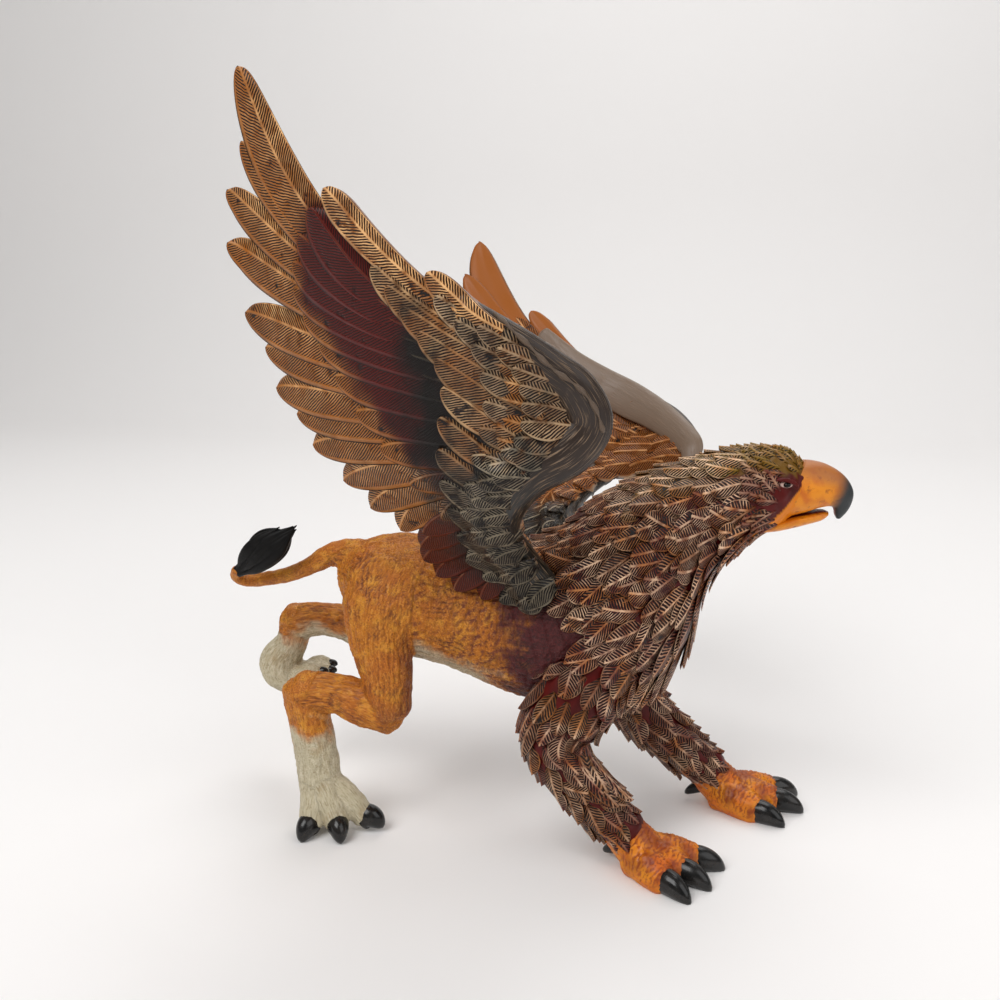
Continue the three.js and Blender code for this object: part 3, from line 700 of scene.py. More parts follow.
def feathers_on(surface, along, angle, length, width, lift, turn):
    """Short feathers lying on a surface: leaves whose height rises with the power 1.3 of the share along
    them, from just under the skin at the root to lift at the tip, with a domed cross section and a
    raised middle rib. Returns the rings and the masks that the engraving reads, in millimetres along
    and across."""
    along, angle, length, width, lift, turn = per_feather(along, angle, length, width, lift, turn)
    sideways = ACROSS * width / 2 * leaf(SHARES, 0.48, 0.5)
    forward = length * SHARES + 0 * sideways
    nudge = 1e-3

    def stretch(along, further, aside):
        """Millimetres that the surface passes for one unit of along or of angle."""
        apart = surface(along + further, angle + aside) - surface(along - further, angle - aside)
        return np.linalg.norm(apart, axis=-1) / (2 * nudge)

    step_along = stretch(along, nudge, 0)
    step_round = stretch(along + 0.5 * length / step_along, 0, nudge)
    ahead = (forward * np.cos(turn) - sideways * np.sin(turn)) / step_along
    round_ = (forward * np.sin(turn) + sideways * np.cos(turn)) / step_round
    sunk = 0.35
    rise = -sunk + (lift + sunk) * SHARES ** 1.3
    height = rise + 0.45 * (1 - ACROSS ** 2) + 0.12 * (ACROSS == 0)
    height = np.where(IS_TOP, height, rise - 0.55 * (1 - 0.4 * SHARES))
    rings = surface(along + ahead, angle + round_, height)
    edge = np.maximum(np.abs(ACROSS), ramp(0.86, 1, SHARES)) * IS_TOP + 0 * sideways
    return rings, {"along": forward, "across": sideways, "edge": edge, "engraved": IS_TOP + 0 * sideways}


def places_round(surface, starts, spacing, rng):
    """Places for feathers in staggered rows round a surface, spacing millimetres apart, each moved at
    random by up to a fifth of the spacing."""
    along, angle = [], []
    for row, start in enumerate(starts):
        ring = surface(start, np.linspace(0, 2 * math.pi, 73))
        count = round(travelled(ring)[-1] / spacing)
        turn = 2 * math.pi * (np.arange(count) + 0.5 * (row % 2)) / count
        angle.append(turn + rng.uniform(-0.2, 0.2, count) * 2 * math.pi / count)
        along.append(start + rng.uniform(-0.2, 0.2, count) * (starts[1] - starts[0]))
    return np.concatenate(along), np.concatenate(angle)


def plumage_piece(
        name, surface, along, angle, rng, settings, scale, warm, paint, sweep=0.0, proud=1.0, lit=1.0):
    """Feathers of the plumage's size times scale at the given places, all turned by sweep and raised by
    proud times the tip lift, and each turned, raised and brushed, lit at most, a little differently."""
    count = len(along)
    length = settings.feather_length / MM * scale * rng.uniform(0.85, 1.15, count)
    width = settings.feather_width / MM * scale * rng.uniform(0.88, 1.12, count)
    lift = settings.tip_lift / MM * rng.uniform(0.6, 1.3, count) * np.sqrt(scale) * proud
    turn = sweep + rng.normal(0, 0.24, count)
    rings, masks = feathers_on(surface, along, angle, length, width, lift, turn)
    mesh = shells_mesh(name, rings)
    wide = np.ones(rings.shape[:-1])
    brush = lit * rng.uniform(0.3, 1.0, count)[:, None, None] * ramp(0.05, 0.45, SHARES) * wide
    warm = np.clip(warm + rng.uniform(-0.25, 0.25, count), 0, 1)[:, None, None] * wide
    set_paint(mesh, brush=brush, warm=warm, wine=0 * wide, soot=0 * wide, ochre=0 * wide, **masks)
    piece(name, mesh, paint, "body")


# The feathers stop at this border on the sides: x and z
FEATHER_BORDER = [(20, 28), (23, 36), (26, 40), (28, 45), (29, 50), (25, 56), (18, 66)]


class GRIFFIN_OT_plumage(bpy.types.Operator):
    """Lays the feathers of the head, neck, breast and forelegs"""

    bl_idname = "griffin.plumage"
    bl_label = "Plumage"

    def execute(self, context):
        settings = context.scene.griffin_plumage
        paint = plumage_paint(
            "Painted vinyl plumage", settings.barb_spacing, 0.95, settings.maroon, "#7a5c10", "#3f1416",
            settings.highlight, "#c5824c", "#9d9080")
        self.neck_and_breast(settings, paint)
        for seed, (side, stations) in enumerate(FORELEGS.items(), 21):
            rng = np.random.default_rng(seed)
            surface = limb_surface(stations)
            along, angle = places_round(surface, np.linspace(0.02, 0.91, 12), 3.1, rng)
            # No feather stands free in front over the foot, nor behind under the belly
            facing = surface(along, angle)[:, 0] - surface(along, angle + math.pi)[:, 0]
            kept = ((along < 0.87) | (facing < 3)) & ((along > 0.08) | (facing > -4))
            along, angle = along[kept], angle[kept]
            size = 0.88 - 0.16 * along - 0.22 * ramp(0.66, 0.9, along)
            plumage_piece(
                f"foreleg_feathers_{side}", surface, along, angle, rng, settings, size, 0.1 + 0 * along,
                paint, proud=0.9 - 0.7 * ramp(0.7, 0.88, along), lit=0.75)
        return {"FINISHED"}

    def neck_and_breast(self, settings, paint):
        """Feathers in rows round the trunk from the face backwards, none on the bare face below the crown
        or behind their border, larger away from the face, and standing off furthest at the throat."""
        rng = np.random.default_rng(11)
        border_x, border_z = np.array(FEATHER_BORDER, float).T
        for name, starts, spacing, scale, lit in (
            ("head_feathers", np.linspace(-0.016, 0.17, 10), 2.2, 0.58, 0.5),
            ("neck_and_breast_feathers", np.linspace(0.18, 0.6, 15), 3.1, 1.0, 1.2),
        ):
            along, angle = places_round(trunk_surface, starts, spacing, rng)
            aside = np.abs((angle + math.pi) % (2 * math.pi) - math.pi)
            root = trunk_surface(along, angle)
            bare = (along < 0.09) & (aside > 0.75)
            bare |= root[:, 0] < np.interp(root[:, 2], border_z, border_x)
            along, angle, aside = along[~bare], angle[~bare], aside[~bare]
            crown = ramp(1.25, 0.6, aside) * ramp(0.3, 0.2, along)
            shoulder = 0.7 * ramp(1.1, 0.4, aside) * ramp(0.42, 0.3, along)
            size = scale * (0.7 + 0.3 * ramp(0.0, 0.16, along)) * (0.75 + 0.25 * ramp(0.17, 0.3, along))
            throat = ramp(0.4, 0.9, -np.cos(angle)) * ramp(0.12, 0.25, along)
            plumage_piece(
                name, trunk_surface, along, angle, rng, settings, size, np.maximum(crown, shoulder),
                paint, sweep=-0.5 * np.sin(angle) * ramp(0.5, 0.2, along),
                proud=0.5 + 0.5 * ramp(0.06, 0.2, along) + 0.8 * throat, lit=lit)


# Coat: the lion's half of the body

def toe_stations(toe, radius):
    """A toe from the foot to its claw, humped in the middle."""
    root, knuckle = np.array(toe[0]), np.array(toe[1])
    middle = (root + knuckle) / 2 + [0, 0, 0.6]
    return [
        [*root, radius, 1.2 * radius],
        [*middle, 1.05 * radius, 1.2 * radius],
        [*knuckle, 0.95 * radius, 1.05 * radius],
    ]


def pairs_near(points, centres, reach):
    """Every point and centre that lie in the same cube or in neighbouring cubes of a grid with sides of
    reach, as the numbers of both."""
    low = points.min(axis=0) - reach
    cubes, homes = (((some - low) / reach).astype(int).T for some in (points, centres))
    sides = cubes.max(axis=1) + 2
    homes = np.ravel_multi_index(homes, sides)
    order = np.argsort(homes, kind="stable")
    steps = np.indices((3, 3, 3)).reshape(3, 1, -1) - 1
    around = np.ravel_multi_index(cubes[..., None] + steps, sides).ravel()
    first, last = (np.searchsorted(homes[order], around, side) for side in ("left", "right"))
    count = last - first
    point = np.repeat(np.arange(len(points)), steps.size // 3)
    within_cube = np.arange(count.sum()) - np.repeat(np.cumsum(count) - count, count)
    return np.repeat(point, count), order[np.repeat(first, count) + within_cube]


def fur_strokes(points, normals, flow, length, width, spacing, seed):
    """Engraved strokes: at random vertices, a groove along the flow, which fades as the bell curve of
    the distance across it and along it. Each point takes the deepest of the five strokes nearest to it.
    Returns how deep each point lies, from 0 to 1."""
    rng = np.random.default_rng(seed)
    low = points.min(axis=0)
    cells = np.unique(((points - low) / spacing).astype(int), axis=0, return_index=True)[1]
    chosen = cells[rng.random(len(cells)) < 0.85]
    centres, upward, along = points[chosen], normals[chosen], flow[chosen]
    swirl = 0.7 * wobble(centres, 6, seed)[:, None] + rng.normal(0, 0.35, (len(chosen), 1))
    along = unit(along - upward * (along * upward).sum(axis=1, keepdims=True))
    along = unit(along + np.cross(upward, along) * swirl)
    point, stroke = pairs_near(points, centres, length)
    order = np.lexsort((np.linalg.norm(points[point] - centres[stroke], axis=1), point))
    nearest = order[np.arange(len(point)) - np.searchsorted(point, point) < 5]
    point, stroke = point[nearest], stroke[nearest]
    away = points[point] - centres[stroke]
    run = (away * along[stroke]).sum(axis=1)
    side = np.linalg.norm(away - run[:, None] * along[stroke], axis=1)
    deep = np.zeros(len(points))
    np.maximum.at(deep, point, np.exp(-(side / (0.5 * width)) ** 2 - (run / (0.5 * length)) ** 4))
    return deep


class GRIFFIN_OT_coat(bpy.types.Operator):
    """Shapes the lion's trunk, hind legs and tail, and engraves and paints their fur"""

    bl_idname = "griffin.coat"
    bl_label = "Coat"

    def execute(self, context):
        settings = context.scene.griffin_fur
        stacks = [domed(rings_on(trunk_surface, 60, 64, 0.47, 1.0), 2.6)]
        stacks += [limb_rings(stations) for stations in LION_LIMBS.values()]
        stacks += [limb_rings(toe_stations(toe, 2.5), 16, 20) for toe in RIGHT_HIND_TOES]
        stacks += [limb_rings(toe_stations(toe, 2.2), 16, 20) for toe in LEFT_HIND_TOES]
        skin = fused("lion_coat", stacks, COAT_VOXEL)
        points, normals = points_of(skin)
        trunk = np.column_stack([(BACK + BELLY) / 2, (BACK - BELLY)[:, 2] / 2, GIRTH[:, 0]])[::-1]
        toes = [toe_stations(toe, TOE_RADIUS) for toe in RIGHT_HIND_TOES + LEFT_HIND_TOES]
        paths = [trunk, *LION_LIMBS.values(), *toes]
        number, place, run, flow, offset = nearest_on(points, paths, 50, True)
        part = np.array(["trunk", *LION_LIMBS, *["toe"] * len(toes)])[number]
        stroke = fur_strokes(
            points, normals, flow, settings.stroke_length / MM, settings.stroke_width / MM, 1.05, 31)
        for name, share in (("toe", 0.35), ("metatarsus", 0.6), ("tail", 0.3)):
            stroke[np.char.endswith(part, name)] *= share
        depth = settings.stroke_depth / MM * stroke - 0.1 * wobble(points, 3.5, 32)
        points = sink(skin, points, normals, depth)
        set_paint(skin, stroke=stroke, run=run, offset=offset, **self.zones(points, normals, part, place))
        piece("lion_coat", skin, coat_paint(settings), "body", "body")
        return {"FINISHED"}

    def zones(self, points, normals, part, place):
        """Where each paint lies: borders at a height or place that a wobble moves to and fro."""
        x = points[:, 0]
        ragged = wobble(points, 5, 33) + 0.5 * wobble(points, 1.8, 34)
        trunk = part == "trunk"
        down = -normals[:, 2]
        belly = ramp(0.35, 0.75, down - 0.1 * ragged) * ramp(10, 2, x + 2 * ragged) * ramp(-16, -12, x)
        cream = np.max([
            (part == "right_metatarsus") * ramp(0.22, 0.42, place + 0.07 * ragged),
            (part == "left_metatarsus") * ramp(-0.02, 0.3, place + 0.08 * ragged),
            part == "toe",
            0.8 * belly * trunk,
            0.9 * (part == "left_shank") * ramp(-0.1, 0.5, down - 0.2 * ragged),
        ], axis=0)
        # Painted shade: the lower forward-facing side of each thigh takes the rusty glaze's darker
        # red-brown.
        front = ramp(0.55, 0.95, normals[:, 0] + 0.1 * ragged) * ramp(0.25, 0.6, place)
        curls = ramp(0.05, 0.5, wobble(points, 1.5, 35)) * ramp(-6, 3, x + 2 * ragged)
        crease = ramp(-9.5, -8, x + 0.6 * ragged) * ramp(-5, -7, x + 0.6 * ragged)
        rust = np.max([
            np.char.endswith(part, "thigh") * np.maximum(0.8 * front, 0.5 * ramp(0.85, 1.0, place)),
            0.9 * curls * trunk,
            0.8 * crease * trunk * ramp(0, 0.5, wobble(points, 1.8, 36)),
        ], axis=0)
        return {"cream": cream, "wine": ramp(6, 15, x + 3 * ragged) * trunk, "rust": np.clip(rust, 0, 1)}


# Feet and claws

def claw_rings(start, tip, length, radius, blunt=1.0):
    """A claw: circles that shrink, the more suddenly the blunter it is, along a path which arches over
    and hooks down to its point."""
    start, tip = np.array(start, float), np.array(tip, float)
    share = np.linspace(-0.12, 1.0, 20)[:, None]
    up = np.array([0, 0, 1.0])
    path = start + unit(tip - start) * length * share * 0.96 + up * (1.5 * share * (1 - share)) * radius
    size = radius * np.maximum(1 - np.abs(share) ** (1.6 + blunt), 0.002) ** (0.9 - 0.35 * blunt)
    rings = tube(path, up, 0.86 * size, size, turns(18))
    rings[..., 2] = np.maximum(rings[..., 2], 0.0)
    return rings


def foot_paint():
    """Painted vinyl: orange scaly skin with a red-brown wash in its wrinkles."""
    return plain_paint(
        "Painted vinyl foot skin", 0.4, "#e08a0c", ("#d0660a", 4, 0.35, 0.65), ("#84340e", "rust"),
        ("#7a2806", "wrinkle", 0.4, 1.1), ("#a04a0c", 0.8, 0.55, 0.7), grain=0.3, strength=0.4, depth=0.1)


class GRIFFIN_OT_feet(bpy.types.Operator):
    """Shapes the scaly forefeet and all the claws"""

    bl_idname = "griffin.feet"
    bl_label = "Feet and claws"

    def execute(self, context):
        paint = foot_paint()
        for side, foot in FOREFEET.items():
            self.forefoot(side, foot, paint)
        # The claws catch the light sharply, unlike the skin
        self.claws(plain_paint(
            "Gloss black claw enamel", 0.2, "#0d0e0f", ("#262321", 2, 0.35, 0.65), depth=0.04))
        return {"FINISHED"}

    def forefoot(self, side, foot, paint):
        """Toes and palm fused, with wrinkles across each toe: sine waves of the distance along it."""
        paths = [foot["palm"], *[toe_stations(toe, TOE_RADIUS) for toe in foot["toes"]]]
        skin = fused(f"forefoot_{side}", [limb_rings(stations, 20, 24) for stations in paths], FOOT_VOXEL)
        points, normals = points_of(skin)
        _, _, run, _, _ = nearest_on(points, paths, 60, False)
        wave = 0.5 + 0.5 * np.sin(2 * math.pi * run / WRINKLE_PITCH + 2.2 * wobble(points, 1.5, 41))
        wrinkle = wave * ramp(-0.5, 0.3, wobble(points, 3.5, 42) + 0.8) * ramp(-0.6, 0.2, normals[:, 2])
        points = sink(skin, points, normals, 0.24 * wrinkle + 0.08 * wobble(points, 1.6, 43))
        rust = ramp(-0.3, 0.8, wobble(points, 5, 44) + 0.8 * ramp(5, 9, points[:, 2]))
        rust *= 0.75 * ramp(-0.5, 0.5, normals[:, 2] + 0.25)
        set_paint(skin, wrinkle=wrinkle, rust=rust)
        piece(f"forefoot_{side}", skin, paint, "body")

    def claws(self, paint):
        """A claw on each toe, and a spur at the back of each forefoot."""
        for name, toes, length, radius, blunt in (
            ("fore_right", FOREFEET["right"]["toes"], CLAW_LENGTH, 2.7, 0.7),
            ("fore_left", FOREFEET["left"]["toes"], CLAW_LENGTH, 2.7, 0.7),
            ("hind_right", RIGHT_HIND_TOES, HIND_CLAW_LENGTH, 2.7, 0.9),
            ("hind_left", LEFT_HIND_TOES, LIFTED_CLAW_LENGTH, 1.25, 0.9),
        ):
            rings = [claw_rings(knuckle, tip, length, radius, blunt) for _, knuckle, tip in toes]
            piece(f"claws_{name}", np.stack(rings), paint, "body")
        for side, foot in FOREFEET.items():
            rings = claw_rings(*foot["spur"], 0.85 * CLAW_LENGTH, 1.5)
            piece(f"claw_spur_{side}", rings[None], paint, "body")


# Tail tuft

# The tuft's locks of hair: the middle of each at its root, its bend and its point, as x and z
TUFT_LOCKS = [
    [[-48.8, 54.4], [-46, 58.2], [-42.8, 61.8], [-37.8, 64.9]],
    [[-48.6, 54.2], [-44.8, 57.8], [-40.6, 61.6], [-34.6, 65]],
    [[-48.2, 54], [-43.8, 56.8], [-39.2, 60.6], [-34.4, 64.8]],
    [[-48, 53.8], [-43, 55.9], [-38.4, 59.6], [-34.9, 64]],
    [[-48.4, 54.1], [-44.6, 57.2], [-40.6, 61], [-34.2, 65.2]],
]


class GRIFFIN_OT_tuft(bpy.types.Operator):
    """Shapes the tail's tuft as grooved locks of hair"""

    bl_idname = "griffin.tuft"
    bl_label = "Tail tuft"

    def execute(self, context):
        """Locks: stacks of small ovals along bent paths, side by side in three layers, which are thickest
        in the middle and end in a point."""
        share = np.linspace(0, 1, 30)
        bulge = np.sin(math.pi * np.clip(share, 0, 0.985) ** 1.2) ** 0.9
        thick = np.maximum(1.45 * bulge, 0.12 + 0.5 * (1 - share))[:, None]
        rng = np.random.default_rng(51)
        locks = []
        for layer in (-1, 0, 1):
            for path in TUFT_LOCKS:
                x, z = spline(np.array(path) + rng.uniform(-0.35, 0.35, (4, 2)), share).T
                middle = np.column_stack([x, -4.2 - 2.4 * share + layer * 1.15 * bulge, z])
                locks.append(tube(middle, [0, 1.0, 0], thick, 0.8 * thick, math.pi / 2 - turns(10)))
        hair = plain_paint(
            "Painted vinyl black hair", 0.5, "#050404", ("#0d0b0a", 2, 0.35, 0.65), depth=0.15, gloss=0.2)
        piece("tail_tuft", np.stack(locks), hair, "body")
        return {"FINISHED"}


# Face: the bare skin round the beak, the eyes and the beak

# The border between the face's paint and the beak's: x and z
BEAK_BORDER = [
    (57, 66.5), (58.2, 67.8), (62.1, 71.9), (64.4, 74.9), (66.8, 77.8), (68.3, 81.1), (68.8, 83),
]
# The beak's profiles as x and z, and its half widths, from the face to the tip
BEAK_TOP = [
    (66.7, 80.8), (68.4, 80.7), (70.6, 80.2), (73, 79), (75, 77.2), (76.1, 75), (76, 72.9), (75.2, 71),
    (74.1, 69.6),
]
BEAK_EDGE = [
    (60.6, 69.2), (64, 69.9), (67.2, 70.8), (69.4, 71.6), (71.2, 72), (72.3, 71.9), (72.7, 71.2),
    (72.9, 70.3), (73.3, 69.6),
]
BEAK_HALF = [5.9, 5.3, 4.6, 3.8, 3.0, 2.3, 1.8, 1.4, 0.8]
JAW_TOP = [(59.2, 68.8), (62.5, 69.6), (65.5, 70.3), (68.4, 70.8), (70.6, 71.1), (71.7, 70.8)]
JAW_BASE = [(59.4, 66.6), (62.3, 66.9), (65.4, 67.6), (68.2, 68.4), (70.5, 69.1), (71.7, 70)]
JAW_HALF = [5.2, 4.5, 3.7, 2.9, 2, 0.9]
EYE = np.array([62.5, 7.3, 77.3])
# The brow's bow, from the middle of the eye: x, y outward and z
BROW = [[-2.6, 0.2, 0.6], [-1.2, 0.45, 0.95], [0.4, 0.5, 0.9], [1.8, 0.2, 0.2], [2.4, -0.1, -0.6]]


def beak_paint():
    """Painted vinyl: yellow-orange at the face, brownish on top, blended into a grey-black hook."""
    return plain_paint(
        "Painted vinyl beak", 0.42, "#e28a12", ("#cc6a10", 2.2, 0.45, 0.7), ("#a85a12", 1.3, 0.58, 0.7),
        ("#9a5a2c", "rust"), ("#2a2e30", "soot"), ("#761a0a", "mouth"), grain=0.5, strength=0.4,
        depth=0.12)


def skin_paint():
    """Painted vinyl: the maroon of the face, the crown's olive gold over the eyes, and the beak's orange
    from the border forwards."""
    return plain_paint(
        "Painted vinyl face skin", 0.4, "#580c08", ("#430705", 3, 0.35, 0.65), ("#6a4a14", "crown"),
        ("#dc7d10", "beak"), grain=0.9, depth=0.12, gloss=0.25)


class GRIFFIN_OT_face(bpy.types.Operator):
    """Shapes the bare face, the eyes and the open beak"""

    bl_idname = "griffin.face"
    bl_label = "Face and beak"

    def execute(self, context):
        skin = skin_paint()
        along = np.linspace(0.0, 0.6, 90)[:, None]
        rings = domed(trunk_surface(along, turns(96), -0.5 * ramp(0.43, 0.48, along)), 1.0)
        outward = unit(rings - rings.mean(axis=1, keepdims=True))
        rings = rings + 0.18 * outward * wobble(rings, 1.6, 61)[..., None]
        cores = [shells_mesh("core", limb_rings(stations)[None]) for stations in FORELEGS.values()]
        mesh = joined("bare_skin", [shells_mesh("face", rings[None]), *cores])
        points, _ = points_of(mesh)
        border_x, border_z = np.array(BEAK_BORDER, float).T
        x, z = points[:, 0], points[:, 2]
        set_paint(
            mesh, beak=ramp(-0.15, 0.15, x - np.interp(z, border_z, border_x)),
            crown=ramp(78.4, 79.4, z + 0.5 * wobble(points, 1.5, 62)) * ramp(48, 54, x))
        piece("bare_skin", mesh, skin, "body")
        self.beak()
        self.eyes(skin)
        return {"FINISHED"}

    def beak(self):
        """Both halves: ovals between a top and a bottom profile, wider by flat towards the bottom."""
        paint = beak_paint()
        turn = turns(40)
        down = (1 - np.cos(turn)) / 2
        round_ = np.sign(np.sin(turn)) * np.abs(np.sin(turn)) ** 0.75
        for name, top, edge, half, flat, rows in (
            ("beak_upper", BEAK_TOP, BEAK_EDGE, BEAK_HALF, 0.35, 46),
            ("beak_lower", JAW_TOP, JAW_BASE, JAW_HALF, -0.3, 30),
        ):
            share = np.linspace(0, 1, rows)[:, None]
            high, low = (spline(np.array(points, float), share[:, 0])[:, None] for points in (top, edge))
            x, z = np.moveaxis(high + (low - high) * down[:, None], -1, 0)
            wide = spline(np.array(half, float)[:, None], share[:, 0])
            rings = np.stack([x, wide * round_ * (1 + flat * (down - 0.5)), z], axis=-1)
            upper = name == "beak_upper"
            hook = upper * ramp(71.2, 74.8, x + 0.42 * (75 - z)) * ramp(70.8, 72.4, x)
            inside = (down > 0.955 if upper else down < 0.09) & (share < 0.92)
            mesh = shells_mesh(name, rings[None])
            set_paint(mesh, soot=hook, rust=0.8 * ramp(77, 80, z + 0.3 * (x - 66)), mouth=inside)
            piece(name, mesh, paint, "body")

    def eyes(self, skin):
        """A pale ellipsoid with a dark ball on it, and a brow as small circles along a bow."""
        # The dark ball is glossier than the paint round it, so that the eye looks wet
        ball = plain_paint(
            "Gloss dark eye enamel", 0.15, "#0a0505", ("#160a08", 1, 0.35, 0.65), grain=0.3, depth=0.0,
            gloss=0.3)
        white = plain_paint("Painted pale eye", 0.4, "#a98278", ("#cdb0a6", 1, 0.35, 0.65), grain=0.3)
        turn = turns(28)
        tilt = np.linspace(0.06, math.pi - 0.06, 16)[:, None]
        sphere = np.stack([
            np.sin(tilt) * np.cos(turn), np.cos(tilt) + 0 * turn, np.sin(tilt) * np.sin(turn)], axis=-1)
        fat = 0.42 * np.sin(math.pi * np.linspace(0.08, 0.92, 30))[:, None]
        level = np.array([0, 1.0, 0])
        for side, sign in (("right", -1), ("left", 1)):
            place = EYE * [1, sign, 1]
            for name, size, shift, paint in (
                ("eye_white", [1.3, 0.62, 0.66], [0, 0, 0], white),
                ("eye", [0.74, 0.62, 0.52], [0.22, 0.3 * sign, 0.02], ball),
            ):
                piece(f"{name}_{side}", (place + np.array(shift) + sphere * size)[None], paint, "body")
            brow = along_curve(place + np.array(BROW) * [1, sign, 1], 30)
            piece(f"brow_{side}", tube(brow, level, fat, fat, turn, level)[None], skin, "body")


# Wings

def sheet(x, z):
    """The wing's sheet: its distance outward from the shoulder leans with height and bulges as a sine
    from the feather tips to the leading edge, fully so from 25 mm above the shoulder."""
    across = np.sin(math.pi * np.clip((x + 53) / 95, 0, 1))
    return 0.5 - 0.2 * z - 20 * across * np.clip(z / 25, 0, 1)


def arm_bulge(x, z, arm):
    """How far feathers that lie over the arm stand off the sheet: the arm's half thickness within half
    its width of its middle, falling smoothly to nothing at 1.6 widths. Below 25 mm the sheet leans at
    45 degrees, so that the arm stands 1.4 times as far off it."""
    path = spline(np.array(arm), np.linspace(0, 1, 60))
    gap = np.hypot(x[..., None] - path[:, 0], z[..., None] - path[:, 1]) / path[:, 3]
    nearest = gap.argmin(axis=-1)
    leaning = 1 + 0.42 * ramp(27, 23, z)
    return leaning * path[nearest, 2] * (1 - ramp(0.45, 1.6, gap.min(axis=-1)))


def on_shoulder(side, points):
    """From the wing's own place to the figure: the left wing is mirrored, turned and moved."""
    if side == "left":
        points = (points * [1, -1, 1]) @ np.array(Euler(LEFT_TURN, "ZYX").to_matrix()).T
    return points + SHOULDERS[side]


def spread(values, count):
    """The values stretched evenly over so many feathers."""
    return np.interp(np.linspace(0, 1, count), np.linspace(0, 1, len(values)), values)


# Across a wing feather: places from edge to edge of its outer face, then back over its inner face
VANE = np.array([-1, -0.85, -0.5, -0.15, 0, 0.15, 0.5, 0.85, 1.0])
VANE_ROUND = np.concatenate([VANE, VANE[-2:0:-1]])[None, None, :]
IS_OUTER = (np.arange(VANE_ROUND.size) < VANE.size)[None, None, :]
# How far a wing feather's rib lies off its middle, as a share of its half width
RIB_SHIFT = 0.28


def blades(arm, roots, tips, sag, width, level, drape=1.0, taper=1.0, tilt=0.55):
    """Long feathers on the wing's sheet. Each follows a bent line from root to tip: a straight run
    plus a bow of sag millimetres. level is its height over the sheet at the root and at the tip,
    drape is its share of the arm's bulge, its tip is a half oval taper widths long, and tilt raises
    its trailing edge over the next feather. Returns the rings in the wing's own place and the masks
    that the paint reads."""
    roots, tips, sag, width = per_feather(roots, tips, sag, width)
    taper = np.broadcast_to(taper, len(roots))[:, None, None]
    run = tips - roots
    length = np.linalg.norm(run, axis=-1)
    share = (1 - (1 - np.linspace(0, 1, 34)) ** 1.7)[None, :, None]
    square = np.stack([-run[..., 1], run[..., 0]], axis=-1) / length[..., None]
    line = roots + run * share[..., None] + square * (sag * 4 * share * (1 - share))[..., None]
    heading = run / length[..., None] + square * (sag / length * 4 * (1 - 2 * share))[..., None]
    normal = unit(np.stack([-heading[..., 1], heading[..., 0]], axis=-1))
    half = width / 2 * leaf(share, np.maximum(1 - taper * width / length, 0.4), 0.55, 0.5)
    aside = VANE_ROUND - RIB_SHIFT * (1 - VANE_ROUND ** 2)
    x, z = np.moveaxis(line + normal * (half * aside)[..., None], -1, 0)
    height = level[0] + (level[1] - level[0]) * share
    dome = 0.4 * (1 - VANE_ROUND ** 2) + 0.14 * (VANE_ROUND == 0)
    bulge = arm_bulge(x, z, arm) * drape
    outer = height + bulge + dome
    inner = -0.45 * np.maximum(height, 0) - 0.6 * dome - 0.35 - 1.5 * bulge
    inner = np.where(np.abs(VANE_ROUND) == 1, outer, inner)
    raised = np.where(IS_OUTER, outer, inner) + tilt * VANE_ROUND * ramp(0.1, 0.5, share)
    rings = np.stack([x, sheet(x, z) - raised, z], axis=-1)
    wide = np.ones(x.shape)
    edge = np.maximum(np.abs(VANE_ROUND), ramp(0.975, 1, share) * IS_OUTER) * wide
    return rings, {
        "along": length * share * wide, "across": half * (aside + RIB_SHIFT) * wide,
        "edge": edge, "share": share * wide, "outer": IS_OUTER * wide, "aside": VANE_ROUND * wide,
    }


FLIGHT_TIPS = [
    [-47.2, 87.9], [-48.6, 77], [-53.4, 69.8], [-54.7, 61.1], [-53.1, 49.1], [-49.1, 43],
    [-47.6, 35.8], [-43.2, 31.4], [-40.2, 26], [-35, 19.5], [-30.8, 14], [-25.9, 9.3],
]

